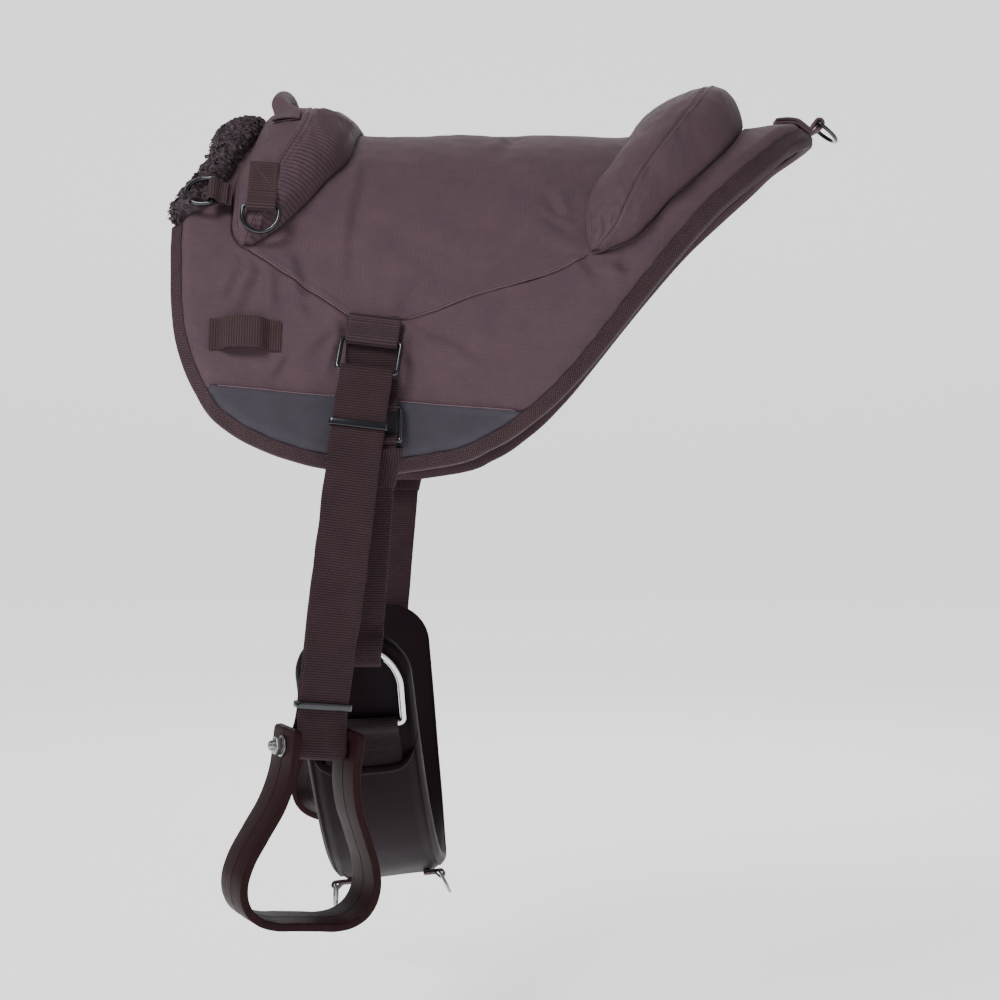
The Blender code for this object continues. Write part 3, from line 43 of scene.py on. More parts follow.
# Studio: a level view of the pad's near side from two metres away, against a pale sweep of paper
# lit by one large soft light from the upper left, a fill from the right and a pale sky.
view_distance = 2.0
view_height = -0.320
camera_data = bpy.data.cameras.new("camera")
camera_data.sensor_width = 36
camera_data.lens = 74.9
camera = bpy.data.objects.new("camera", camera_data)
camera.location = (0, -view_distance, view_height)
camera.rotation_euler = (math.radians(90), 0, 0)
bpy.context.scene.collection.objects.link(camera)
bpy.context.scene.camera = camera

floor_height = -0.86
bpy.ops.mesh.primitive_plane_add(size=12, location=(0, -1.0, floor_height))
paper = bpy.context.object
paper.name = "paper_sweep"
bpy.ops.object.mode_set(mode="EDIT")
sweep = bmesh.from_edit_mesh(paper.data)
bpy.ops.mesh.select_all(action="DESELECT")
bpy.ops.mesh.select_mode(type="EDGE")
for edge in sweep.edges:
    edge.select_set(all(vert.co.y > 0 for vert in edge.verts))
bmesh.update_edit_mesh(paper.data)
for lift_step, run_step in ((0.15, 0.6), (0.35, 0.5), (0.6, 0.35), (0.9, 0.15), (6.0, 0.0)):
    bpy.ops.mesh.extrude_region_move(TRANSFORM_OT_translate={"value": (0, run_step, lift_step)})
bpy.ops.object.mode_set(mode="OBJECT")
paper.modifiers.new("smooth", "SUBSURF").render_levels = 3
paper.modifiers["smooth"].levels = 3
paper.data.shade_smooth()
paper_finish = bpy.data.materials.new("pale_paper")
paper_finish.use_nodes = True
paper_shader = paper_finish.node_tree.nodes["Principled BSDF"]
paper_shader.inputs["Base Color"].default_value = (0.86, 0.86, 0.87, 1)
paper_shader.inputs["Roughness"].default_value = 0.9
paper_shader.inputs["Emission Color"].default_value = (1.0, 1.0, 1.0, 1)
paper_shader.inputs["Emission Strength"].default_value = 0.95
paper.data.materials.append(paper_finish)

world = bpy.data.worlds.new("sky")
bpy.context.scene.world = world
world.use_nodes = True
sky = world.node_tree.nodes["Background"]
sky.inputs["Color"].default_value = (1.0, 1.0, 1.0, 1)
sky.inputs["Strength"].default_value = 0.24
for lamp_name, place, aim, size, power in (
    ("key", (-1.5, -2.0, 2.0), (0, -0.1, -0.25), 1.3, 84),
    ("fill", (2.4, -1.8, 0.5), (0, -0.1, -0.35), 2.0, 9),
    ("far_side", (0.4, 2.4, 1.6), (0, 0.1, -0.2), 2.0, 40),
):
    lamp_data = bpy.data.lights.new(lamp_name, "AREA")
    lamp_data.size = size
    lamp_data.energy = power
    lamp = bpy.data.objects.new(lamp_name, lamp_data)
    lamp.location = place
    lamp.rotation_euler = (Vector(aim) - Vector(place)).to_track_quat("-Z", "Y").to_euler()
    bpy.context.scene.collection.objects.link(lamp)

# Fleece lining: a curly pile knitted in one sheet, cut to the pad's outline and laid over the
# horse's back. All the layers above it are drawn on the same flat pattern and wrapped the same way.
barrel_half_width = 0.235
barrel_half_height = 0.332
back_rise = 0.014
back_half_length = 0.260
belly_slope = 0.12
belly_middle_x = -0.102
barrel_angles = np.linspace(0.0, math.pi, 1441)
barrel_speed = np.hypot(barrel_half_width * np.cos(barrel_angles), barrel_half_height * np.sin(barrel_angles))
barrel_arcs = np.concatenate(
    ([0.0], np.cumsum((barrel_speed[1:] + barrel_speed[:-1]) / 2 * np.diff(barrel_angles)))
)
half_girth = float(barrel_arcs[-1])


def on_barrel(x, arc, lift):
    """Points above the horse's skin. Negative arcs are on its left side."""
    x, arc, lift = np.broadcast_arrays(np.asarray(x, float), arc, lift)
    side = np.where(arc < 0, -1.0, 1.0)
    angle = np.interp(np.abs(arc), barrel_arcs, barrel_angles)
    out_y = side * barrel_half_height * np.sin(angle)
    out_z = barrel_half_width * np.cos(angle)
    length = np.hypot(out_y, out_z)
    rise = back_rise * (x / back_half_length) ** 2 * np.maximum(np.cos(angle), 0)
    slope = belly_slope * (x - belly_middle_x) * np.maximum(-np.cos(angle), 0)
    y = side * barrel_half_width * np.sin(angle) + out_y / length * lift
    z = barrel_half_height * (np.cos(angle) - 1) + rise + slope + out_z / length * lift
    return np.stack((x, y, z), axis=-1)


def smoothed(places, values, at):
    """Rows of values at some places, on a smooth curve through the rows that are given."""
    slopes = np.gradient(values, places, axis=0)
    index = np.clip(np.searchsorted(places, at) - 1, 0, len(places) - 2)
    span = (places[index + 1] - places[index])[:, None]
    t = (at - places[index])[:, None] / span
    before = (2 * t**3 - 3 * t**2 + 1) * values[index] + (t**3 - 2 * t**2 + t) * span * slopes[index]
    after = (3 * t**2 - 2 * t**3) * values[index + 1] + (t**3 - t**2) * span * slopes[index + 1]
    return before + after


def curve_through(points, value_scale, place_scale):
    """A smooth curve through (place, value) shares, read at the size of an arc."""
    places, values = np.array(points, float).T
    at = np.linspace(places[0], places[-1], 600)
    value = smoothed(places, values[:, None], at)[:, 0]
    return lambda arc: value_scale * np.interp(np.abs(arc) / place_scale, at, value)


def ease(share):
    share = np.clip(share, 0.0, 1.0)
    return share * share * (3 - 2 * share)


pad_drop = 0.415
front_reach = -0.288
rear_reach = 0.300
front_edge = curve_through((
    (0.0, 0.868), (0.160, 0.892), (0.357, 0.927), (0.414, 0.969), (0.458, 0.997), (0.520, 1.0),
    (0.588, 0.993), (0.653, 0.986), (0.764, 0.955), (0.839, 0.906), (0.906, 0.830), (0.947, 0.729),
    (0.976, 0.611), (0.990, 0.524), (1.0, 0.406),
), front_reach, pad_drop)
rear_edge = curve_through((
    (0.0, 1.0), (0.050, 0.990), (0.100, 0.962), (0.166, 0.902), (0.227, 0.854), (0.309, 0.768),
    (0.405, 0.655), (0.528, 0.524), (0.626, 0.422), (0.716, 0.328), (0.803, 0.230), (0.888, 0.108),
    (0.950, -0.022), (0.982, -0.135), (1.0, -0.293),
), rear_reach, pad_drop)
edge_inset = 0.0026
edge_arcs = pad_drop * (1 - np.linspace(1.0, 0.0, 161) ** 2)
outline = np.concatenate((
    np.stack((front_edge(edge_arcs), edge_arcs), axis=1),
    np.stack((rear_edge(edge_arcs), edge_arcs), axis=1)[::-1],
))
outline_ways = np.gradient(outline, axis=0)
outline_ways[0] = (0, 1)
outline_ways[-1] = (0, -1)
outline_ways /= np.hypot(*outline_ways.T)[:, None]
cover_outline = outline + np.stack((outline_ways[:, 1], -outline_ways[:, 0]), axis=1) * edge_inset
cover_drop = float(cover_outline[:, 1].max())
cover_half = len(edge_arcs)


def inset_front(arc):
    return np.interp(np.abs(arc), cover_outline[:cover_half, 1], cover_outline[:cover_half, 0])


def inset_rear(arc):
    return np.interp(np.abs(arc), cover_outline[:cover_half - 1:-1, 1], cover_outline[:cover_half - 1:-1, 0])


places_at_once = 6000


def distance_to(line, x, arc):
    """How far places on the flat pattern lie from a line of points."""
    x, arc = np.broadcast_arrays(np.asarray(x, float), np.abs(arc))
    start = line[:-1]
    way = line[1:] - start
    length = np.maximum((way**2).sum(axis=1), 1e-12)
    asked = np.stack((x.ravel(), arc.ravel()), axis=1)
    found = []
    for places in np.array_split(asked, max(x.size // places_at_once, 1)):
        gap = places[:, None, :] - start
        share = np.clip((gap * way).sum(axis=2) / length, 0, 1)
        found.append(np.hypot(*np.moveaxis(gap - share[:, :, None] * way, 2, 0)).min(axis=1))
    return np.concatenate(found).reshape(x.shape)


chart_step = 0.002
chart_x = np.arange(-0.296, 0.310, chart_step)
chart_arc = np.arange(0.0, pad_drop + 0.012, chart_step)
chart = distance_to(outline, chart_x[:, None], chart_arc)


def from_outline(x, arc):
    """How far a place on the flat pattern lies from the outline, read between the points of a chart."""
    column = np.clip((x - chart_x[0]) / chart_step, 0, len(chart_x) - 1.001)
    row = np.clip(np.abs(arc) / chart_step, 0, len(chart_arc) - 1.001)
    left = column.astype(int)
    low = row.astype(int)
    u = column - left
    v = row - low
    nearer = chart[left, low] * (1 - v) + chart[left, low + 1] * v
    further = chart[left + 1, low] * (1 - v) + chart[left + 1, low + 1] * v
    return nearer * (1 - u) + further * u


thinning_reach = 0.020
lining_edge_share = 0.45
foam_edge_share = 0.12
near_edge = np.array((0.0, 0.0005, 0.0012, 0.0022, 0.0036))


def fullness(x, arc, edge_share):
    """A layer's share of its thickness, pressed thin in the bound edge."""
    return edge_share + (1 - edge_share) * ease(from_outline(x, arc) / thinning_reach)


def spaced(start, end, count):
    """Places from start to end in each row, closer together at both ends."""
    start, end = np.broadcast_arrays(np.asarray(start, float), end)
    room = np.minimum(np.abs(end - start) / (6 * near_edge[-1]), 1.0)[:, None] * np.sign(end - start)[:, None]
    first = start[:, None] + near_edge * room
    last = end[:, None] - near_edge[::-1] * room
    middle = first[:, -1:] + (last[:, :1] - first[:, -1:]) * np.linspace(0, 1, count)[None, 1:-1]
    return np.concatenate((first, middle, last), axis=1)


def hills(x, y, size, seed, waves=14):
    """Smooth random heights from -1 to 1, as waves of about that size."""
    dice = np.random.default_rng(seed)
    turns = dice.uniform(0, 2 * math.pi, waves)
    phases = dice.uniform(0, 2 * math.pi, waves)
    stretches = dice.uniform(0.7, 1.6, waves)
    total = np.zeros(np.broadcast(x, y).shape)
    for turn, phase, stretch in zip(turns, phases, stretches):
        pace = 2 * math.pi / (size * stretch)
        total = total + np.sin((x * math.cos(turn) + y * math.sin(turn)) * pace + phase)
    return total / math.sqrt(waves) / 1.6


def shell(name, body, top, bottom, flat, finish, keep=None):
    """Cloth between two grids of points. flat is their place on the uncut cloth, and keep the cut cells."""
    rows, columns = top.shape[:2]
    count = rows * columns
    index = np.arange(count).reshape(rows, columns)
    kept = np.zeros((rows + 1, columns + 1), bool)
    kept[1:-1, 1:-1] = True if keep is None else keep
    row, column = np.nonzero(kept[1:-1, 1:-1])
    corners = [
        index[row, column], index[row, column + 1], index[row + 1, column + 1], index[row + 1, column]
    ]
    upper = np.stack(corners, axis=1)
    faces = [upper, upper[:, ::-1] + count]
    beside = (
        kept[row, column + 1], kept[row + 1, column + 2], kept[row + 2, column + 1], kept[row + 1, column],
    )
    for side, neighbour in enumerate(beside):
        here = corners[side][~neighbour]
        there = corners[(side + 1) % 4][~neighbour]
        faces.append(np.stack((there, here, here + count, there + count), axis=1))
    points = np.concatenate((top.reshape(-1, 3), bottom.reshape(-1, 3)))
    places = np.stack(np.broadcast_arrays(*flat), axis=-1).reshape(-1, 2)
    places = np.concatenate((places, places))
    return cloth_mesh(name, body, points, np.concatenate(faces), places, finish)


def cloth_mesh(name, body, points, faces, places, finish):
    """A finished piece from points, quads and the flat place of each point."""
    used, faces = np.unique(faces, return_inverse=True)
    faces = faces.reshape(-1, 4)
    points = points[used]
    places = places[used]
    a, b, c, d = (points[faces[:, corner]] for corner in range(4))
    if (np.cross(b - a, c - a) * a).sum() + (np.cross(c - a, d - a) * a).sum() < 0:
        faces = faces[:, ::-1]
    mesh = bpy.data.meshes.new(name)
    mesh.from_pydata(points.tolist(), [], faces.tolist())
    layer = mesh.uv_layers.new(name="flat_pattern")
    layer.data.foreach_set("uv", places[faces.ravel()].astype(np.float32).ravel())
    mesh.materials.append(finish)
    mesh.shade_smooth()
    mesh.set_sharp_from_angle(angle=math.radians(50))
    piece = bpy.data.objects.new(name, mesh)
    bpy.context.scene.collection.objects.link(piece)
    return settle(piece, name, body)


def settle(piece, name, body):
    """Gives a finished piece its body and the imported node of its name, if there is one."""
    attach(piece, body)
    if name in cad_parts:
        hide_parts(name)
    return piece


def new_finish(name, colour, roughness, **sockets):
    made = bpy.data.materials.new(name)
    made.use_nodes = True
    shader = made.node_tree.nodes["Principled BSDF"]
    shader.inputs["Base Color"].default_value = (*colour, 1)
    shader.inputs["Roughness"].default_value = roughness
    for socket, value in sockets.items():
        shader.inputs[socket.replace("_", " ")].default_value = value
    return made


def add_step(made, kind, inputs, **settings):
    """Adds a shader node with its settings and inputs, and gives its outputs."""
    node = made.node_tree.nodes.new("ShaderNode" + kind)
    for setting, value in settings.items():
        setattr(node, setting, value)
    for socket, value in inputs.items():
        if isinstance(value, bpy.types.NodeSocket):
            made.node_tree.links.new(value, node.inputs[socket])
        else:
            node.inputs[socket].default_value = value
    return node.outputs


def calculate(made, operation, first, second=0.0, third=0.0):
    return add_step(made, "Math", {0: first, 1: second, 2: third}, operation=operation)[0]


def blend_colours(made, share, *colours):
    """Mixes two colours, each a shader output or the three parts of a colour."""
    first, second = (
        colour if isinstance(colour, bpy.types.NodeSocket) else (*colour, 1) for colour in colours
    )
    return add_step(made, "Mix", {0: share, 6: first, 7: second}, data_type="RGBA")[2]


def place_on(made, kind):
    """Where a finish reads its pattern: at the Object's points, or in its UV map on the flat pattern."""
    return add_step(made, "TexCoord", {})[kind]


def add_noise(made, place, scale, detail, roughness=0.5):
    settings = {"Vector": place, "Scale": scale, "Detail": detail, "Roughness": roughness}
    return add_step(made, "TexNoise", settings)[0]


def add_bumps(made, height, strength, distance, invert=False):
    settings = {"Height": height, "Strength": strength, "Distance": distance}
    return add_step(made, "Bump", settings, invert=invert)[0]


def plug_in(made, **sockets):
    shader = made.node_tree.nodes["Principled BSDF"]
    for socket, value in sockets.items():
        made.node_tree.links.new(value, shader.inputs[socket.replace("_", " ")])


def rgb(*parts):
    """A shader colour from the eight-bit one that shows on a screen."""
    return [((part / 255 + 0.055) / 1.055) ** 2.4 if part > 10 else part / 3294.6 for part in parts]


def fleece_finish(name):
    """Dark brown curly pile: small knots of curl, with painted highlight on their tips and painted shade in
    the hollows between them.
    """
    made = new_finish(name, rgb(50, 37, 45), 0.95, Sheen_Weight=0.10, Sheen_Roughness=0.5)
    place = place_on(made, "Object")
    curls = add_step(made, "TexVoronoi", {"Vector": place, "Scale": 210.0}, feature="SMOOTH_F1")[0]
    waves = add_noise(made, place, 900.0, 3.0)
    depth = calculate(made, "ADD", curls, calculate(made, "MULTIPLY", waves, 0.35))
    # Painted light: the colour is pale on the curls' tips and dark in the hollows between them, by the same
    # depth that drives the bumps.
    colour = blend_colours(made, depth, rgb(100, 80, 90), rgb(34, 24, 30))
    plug_in(made, Base_Color=colour, Normal=add_bumps(made, depth, 0.9, 0.0022, True))
    return made


fleece = fleece_finish("curly_fleece")
lining_top = 0.0098
curl_depth = 0.0022
lining_arcs = np.linspace(-cover_drop, cover_drop, 250)
lining_x = spaced(inset_front(lining_arcs), inset_rear(lining_arcs), 190)
lining_arc = np.broadcast_to(lining_arcs[:, None], lining_x.shape)
lining_full = fullness(lining_x, lining_arc, lining_edge_share)
curl = np.abs(hills(lining_x, lining_arc, 0.009, 3)) + 0.6 * np.abs(hills(lining_x, lining_arc, 0.0055, 4))
lining = shell(
    "fleece_lining", "pad",
    on_barrel(lining_x, lining_arc, lining_top * lining_full),
    on_barrel(lining_x, lining_arc, curl_depth - curl_depth * np.minimum(curl, 1.0)),
    (lining_x, lining_arc), fleece,
)

# Foam core: one sheet of closed-cell foam between the lining and the cover, thinned at the bound
# edge and a little crowned under the seat. The cover's creases and the seat's fullness press it.
crease_lines = (
    (-0.1300, 0.120, -0.1262, 0.284, 0.0060, 0.0013),
    (-0.1420, 0.090, -0.1500, 0.165, 0.0070, 0.0007),
    (-0.1360, 0.296, -0.1460, 0.345, 0.0045, 0.0016),
    (-0.1390, 0.292, -0.1740, 0.330, 0.0055, 0.0012),
    (-0.1820, 0.235, -0.1590, 0.300, 0.0060, 0.0014),
    (-0.2150, 0.244, -0.2270, 0.300, 0.0060, 0.0013),
    (-0.2100, 0.250, -0.2560, 0.276, 0.0065, 0.0010),
    (-0.1840, 0.322, -0.1960, 0.346, 0.0035, 0.0011),
    (-0.0800, 0.300, -0.0860, 0.345, 0.0050, 0.0014),
    (-0.0790, 0.296, -0.0400, 0.316, 0.0060, 0.0010),
    (-0.0760, 0.284, -0.0560, 0.246, 0.0060, 0.0010),
    (0.0590, 0.184, 0.0430, 0.146, 0.0055, 0.0014),
    (0.0700, 0.226, 0.0300, 0.204, 0.0060, 0.0009),
    (0.0030, 0.050, -0.0060, 0.120, 0.0075, 0.0011),
    (0.0900, 0.240, 0.1240, 0.252, 0.0050, 0.0010),
    (0.1400, 0.200, 0.1560, 0.160, 0.0070, 0.0009),
    (-0.2260, 0.240, -0.2380, 0.284, 0.0045, 0.0011),
    (-0.1980, 0.250, -0.1900, 0.296, 0.0050, 0.0010),
    (-0.1560, 0.274, -0.1960, 0.262, 0.0045, 0.0009),
    (0.0620, 0.196, 0.0280, 0.176, 0.0040, 0.0012),
    (0.0640, 0.232, 0.0860, 0.262, 0.0045, 0.0011),
    (0.0980, 0.232, 0.1080, 0.276, 0.0055, 0.0009),
    (-0.0520, 0.306, -0.0100, 0.330, 0.0055, 0.0009),
)


def creases(x, arc):
    """Soft folds where the cover is pulled at its corners: a ridge with a hollow beside it."""
    x, arc = np.broadcast_arrays(np.asarray(x, float), arc)
    total = 0.00085 * hills(x, arc, 0.070, 11) + 0.00034 * hills(x, arc, 0.024, 12)
    for start_x, start_arc, end_x, end_arc, width, height in crease_lines:
        way = np.array((end_x - start_x, end_arc - start_arc))
        length = np.hypot(*way)
        way = way / length
        along = (x - start_x) * way[0] + (np.abs(arc) - start_arc) * way[1]
        aside = (x - start_x) * way[1] - (np.abs(arc) - start_arc) * way[0]
        aside = aside + 0.12 * length * np.sin(along / length * 2.2) ** 2 * 0.5
        fade = ease(along / length * 5 + 0.6) * ease((1 - along / length) * 1.6)
        fold = np.exp(-(aside / width) ** 2) - 0.9 * np.exp(-((aside - 1.5 * width) / width) ** 2)
        total = total + 2.0 * height * fold * fade
    return total * ease(from_outline(x, arc) / 0.030)


lining_thickness = 0.010
foam_thickness = 0.011
cover_room = 0.0008
crown_height = 0.004
crown_middle_x = -0.005
crown_half_length = 0.120
crown_half_arc = 0.230


def cover_low(x, arc):
    """How high the cover's underside is, on the lining and the foam, with a crown under the seat."""
    crown = 1 - ((x - crown_middle_x) / crown_half_length) ** 2
    crown = crown_height * np.maximum(crown, 0) * np.maximum(1 - (arc / crown_half_arc) ** 2, 0)
    lining_part = lining_thickness * fullness(x, arc, lining_edge_share)
    foam_part = foam_thickness * fullness(x, arc, foam_edge_share)
    return lining_part + foam_part + cover_room + crown + creases(x, arc)


# The foam is coloured much darker than real foam, as painted shade where it shows through the seam gaps.
foam = new_finish("foam", rgb(46, 40, 44), 0.9)
cells = add_step(foam, "TexVoronoi", {"Vector": place_on(foam, "Object"), "Scale": 900.0})[0]
plug_in(foam, Normal=add_bumps(foam, cells, 0.5, 0.0004))
foam_arcs = np.linspace(-cover_drop, cover_drop, 140)
foam_x = spaced(inset_front(foam_arcs), inset_rear(foam_arcs), 100)
foam_arc = np.broadcast_to(foam_arcs[:, None], foam_x.shape)
foam_core = shell(
    "foam_core", "pad",
    on_barrel(foam_x, foam_arc, cover_low(foam_x, foam_arc) - 0.0006),
    on_barrel(foam_x, foam_arc, lining_thickness * fullness(foam_x, foam_arc, lining_edge_share) + 0.0002),
    (foam_x, foam_arc), foam,
)

# Seat panel and skirts: the coated nylon cover, cut along the rolls' bases and along a seam down
# to each hanger. The seat's cut edge is folded under and sewn over the skirt, so it stands a little proud.
cover_thickness = 0.0014
seam_gap = 0.0004
seam_tip_arc = 0.227
hanger_arc = 0.289
hanger_front_x = -0.126
hanger_rear_x = -0.081
seam_start_x = -0.2205
pommel_front = curve_through((
    (0.0, 0.764), (0.12, 0.766), (0.55, 0.783), (0.68, 0.806), (0.86, 0.810), (0.96, 0.800), (1.0, 0.777),
), front_reach, seam_tip_arc)
pommel_rear = curve_through((
    (0.0, 0.451), (0.30, 0.459), (0.54, 0.484), (0.67, 0.540), (0.815, 0.609), (0.94, 0.690), (1.0, 0.752),
), front_reach, seam_tip_arc)
cantle_front = curve_through((
    (0.0, 0.427), (0.32, 0.393), (0.60, 0.312), (0.715, 0.267), (0.868, 0.247), (0.96, 0.252), (1.0, 0.262),
), rear_reach, seam_tip_arc)
cantle_rear = curve_through((
    (0.0, 0.780), (0.20, 0.755), (0.458, 0.682), (0.64, 0.580), (0.758, 0.500), (0.863, 0.437),
    (0.955, 0.362), (1.0, 0.288),
), rear_reach, seam_tip_arc)
rear_seam_drop = curve_through((
    (0.0, 0.259), (0.24, 0.172), (0.66, -0.087), (0.89, -0.199), (1.0, -0.270),
), rear_reach, 1.0)
binding_start = 0.199
wither_drop = binding_start - 0.0006
wither_rear = curve_through((
    (0.0, 0.763), (0.45, 0.780), (0.63, 0.812), (0.72, 0.830), (0.845, 0.852), (0.93, 0.872), (0.965, 0.910),
    (0.985, 0.940), (1.0, 0.968),
), front_reach, wither_drop)


def seam_shares(arc):
    """How far places are down a seam's slanted part, and down its part below the hanger."""
    share = np.clip((arc - seam_tip_arc) / (hanger_arc - seam_tip_arc), 0, 1)
    return share, np.clip((arc - hanger_arc) / (cover_drop - hanger_arc), 0, 1)


def front_seam(arc):
    arc = np.abs(arc)
    share, below = seam_shares(arc)
    seam = seam_start_x + (hanger_front_x - seam_start_x) * share
    seam = seam + (inset_front(cover_drop) - hanger_front_x) * below
    return np.where(arc <= seam_tip_arc, pommel_front(arc), seam)


def rear_seam(arc):
    arc = np.abs(arc)
    share, below = seam_shares(arc)
    seam = rear_seam_drop(share) + (inset_rear(cover_drop) - hanger_rear_x) * below
    return np.where(arc <= seam_tip_arc, cantle_rear(arc), seam)


seam_places = np.linspace(0.01, hanger_arc, 90)
seam_line = np.concatenate((
    np.stack((front_seam(seam_places), seam_places), axis=1),
    np.stack((rear_seam(seam_places), seam_places), axis=1)[::-1],
))


def add_wave(made, place, pitch):
    """A sine wave that repeats at a pitch."""
    return calculate(made, "SINE", calculate(made, "MULTIPLY", place, 2 * math.pi / pitch))


def cloth_finish(name, along_spine, ridges=0.0):
    """Coated nylon: fine ribs one way, slightly mottled from plum to brown, with a dull sheen and painted
    shade between its ribs.
    """
    made = new_finish(name, rgb(96, 77, 84), 0.78, Specular_IOR_Level=0.14)
    place = place_on(made, "UV")
    split = add_step(made, "SeparateXYZ", {0: place})
    across, along = (split[1], split[0]) if along_spine else (split[0], split[1])
    ribs = add_wave(made, across, 0.00115)
    picks = add_wave(made, along, 0.0006)
    ribs = calculate(made, "MULTIPLY_ADD", ribs, 0.5, 0.5)
    weave = calculate(made, "MULTIPLY_ADD", picks, 0.14, ribs)
    patches = add_noise(made, place, 30.0, 8.0, 0.72)
    slubs = add_noise(made, place, 420.0, 2.0)
    mottle = calculate(made, "MULTIPLY_ADD", patches, 1.6, -0.3)
    plain = blend_colours(made, mottle, rgb(90, 73, 83), rgb(117, 92, 98))
    # Painted shade: the colour darkens between the ribs and where the slubs are low, where the weave's bumps
    # dip.
    shade = calculate(made, "MULTIPLY_ADD", calculate(made, "MULTIPLY", ribs, slubs), 0.75, 0.0)
    colour = blend_colours(made, shade, rgb(62, 48, 55), plain)
    colour = blend_colours(made, 0.62, plain, colour)
    if ridges:
        # Painted shade: the grip cloth is darkened in the grooves between its raised ribs, except near the
        # spine.
        crests = calculate(made, "COSINE", calculate(made, "MULTIPLY", split[1], math.pi / ridges))
        crests = calculate(made, "MULTIPLY_ADD", calculate(made, "ABSOLUTE", crests), 0.8, 0.38)
        from_top = calculate(made, "MULTIPLY_ADD", calculate(made, "ABSOLUTE", split[1]), -250.0, 13.0)
        colour = blend_colours(made, calculate(made, "MAXIMUM", crests, from_top), rgb(50, 38, 45), colour)
    height = calculate(made, "MULTIPLY_ADD", slubs, 0.6, weave)
    plug_in(made, Base_Color=colour, Normal=add_bumps(made, height, 0.5, 0.00028))
    return made


seat_cloth = cloth_finish("nylon_cover_seat", False)
skirt_cloth = cloth_finish("nylon_cover_skirts", True)


def cover_top(x, arc):
    return cover_low(x, arc) + cover_thickness


def pattern_rows(low_arc, high_arc, step):
    """Arcs from one seam to another, closer together at both."""
    return spaced([low_arc], [high_arc], max(round((high_arc - low_arc) / step), 4))[0]


hem_softness = 0.0007


def hem(distance, depth):
    """How far cloth rolls down into a seam, by the distance from it."""
    return -depth * np.exp(-(np.maximum(distance, 0) / hem_softness) ** 1.5)


def thread_line(x, arc, side, lift):
    """A line for stitches on the flat pattern: its points and the directions out of the cloth."""
    low = on_barrel(x, side * arc, lift)
    return low, (on_barrel(x, side * arc, lift + 0.001) - low) / 0.001


def square_tubes(name, body, points, flat, finish):
    """Many square tubes, closed at both ends, as one piece. points go by tube, station and corner."""
    index = np.arange(points[..., 0].size).reshape(points.shape[:3])
    faces = [index[:, 0, ::-1], index[:, -1]]
    for station in range(index.shape[1] - 1):
        for corner in range(4):
            after = (corner + 1) % 4
            faces.append(np.stack((
                index[:, station, corner], index[:, station, after],
                index[:, station + 1, after], index[:, station + 1, corner],
            ), axis=-1))
    faces = np.concatenate([face.reshape(-1, 4) for face in faces])
    places = np.stack([np.broadcast_to(way, index.shape) for way in flat], axis=-1).reshape(-1, 2)
    return cloth_mesh(name, body, points.reshape(-1, 3), faces, places, finish)


def stitching(name, body, runs, finish, pitch, length, radius):
    """Lockstitch: each stitch is a short length of thread that dives into the cloth at both its ends."""
    corners = np.linspace(0, 2 * math.pi, 5)[:-1]
    stations = np.array((0.0, 0.2, 0.8, 1.0)) * length
    dive = np.array((-0.9, 0.45, 0.45, -0.9)) * radius
    fat = np.array((0.6, 1.0, 1.0, 0.6)) * radius
    rings = []
    for line, outs in runs:
        reach = np.concatenate(([0.0], np.cumsum(np.sqrt((np.diff(line, axis=0) ** 2).sum(axis=1)))))
        at = np.arange(max(int(reach[-1] / pitch), 1))[:, None] * pitch + stations
        middle = np.stack([np.interp(at, reach, line[:, axis]) for axis in range(3)], axis=-1)
        out = np.stack([np.interp(at, reach, outs[:, axis]) for axis in range(3)], axis=-1)
        out /= np.linalg.norm(out, axis=-1, keepdims=True)
        way = middle[:, -1:] - middle[:, :1]
        way = way / np.maximum(np.linalg.norm(way, axis=-1, keepdims=True), 1e-9)
        across = np.cross(way, out)
        middle = middle + out * dive[:, None]
        ring = [middle + (across * math.cos(a) + out * math.sin(a)) * fat[:, None] for a in corners]
        rings.append(np.stack(ring, axis=2))
    flat = (corners * radius, stations[:, None])
    return square_tubes(name, body, np.concatenate(rings), flat, finish)


def toned(colour, times, more=0.0):
    """A colour made darker or paler."""
    return [min(value * times + more, 1) for value in colour]


def thread_finish(name, colour):
    """Bonded thread: twisted and a little glossy, its tone mottled at random along its ply."""
    made = new_finish(name, colour, 0.5, Specular_IOR_Level=0.3)
    ply = add_noise(made, place_on(made, "Object"), 1500.0, 2.0)
    tone = blend_colours(made, ply, toned(colour, 0.55), toned(colour, 1.3))
    plug_in(made, Base_Color=tone, Normal=add_bumps(made, ply, 0.4, 0.0001))
    return made


pale_thread = thread_finish("thread_pale", rgb(134, 110, 116))
faded_thread = thread_finish("thread_faded", rgb(112, 91, 97))
dark_thread = thread_finish("thread_plum", rgb(74, 56, 62))

seat_side = pattern_rows(0.0, hanger_arc - seam_gap, 0.0026)
seat_arcs = np.concatenate((-seat_side[:0:-1], seat_side))
seat_x = spaced(front_seam(seat_arcs) + seam_gap, rear_seam(seat_arcs) - seam_gap, 116)
seat_arc = np.broadcast_to(seat_arcs[:, None], seat_x.shape)
seat_seam = np.minimum(distance_to(seam_line, seat_x, seat_arc), hanger_arc - np.abs(seat_arc))
seat_fold = 0.0009 * (1 - ease((seat_seam - 0.004) / 0.004)) + hem(seat_seam - seam_gap, 0.0016)
seat_lift = cover_top(seat_x, seat_arc) + seat_fold
seat_panel = shell(
    "seat_panel", "pad", on_barrel(seat_x, seat_arc, seat_lift),
    on_barrel(seat_x, seat_arc, cover_low(seat_x, seat_arc)), (seat_x, seat_arc), seat_cloth,
)
seam_arcs = np.linspace(seam_tip_arc + 0.002, hanger_arc - 0.001, 120)
seam_runs = []
for side in (-1, 1):
    for seam_x in (front_seam(seam_arcs) + 0.0014, rear_seam(seam_arcs) - 0.0014):
        seam_runs.append(thread_line(seam_x, seam_arcs, side, cover_top(seam_x, seam_arcs) + 0.0008))
stitching(
    "seat_seam_stitching", "pad", seam_runs, pale_thread, pitch=0.0031, length=0.0028, radius=0.00026
)

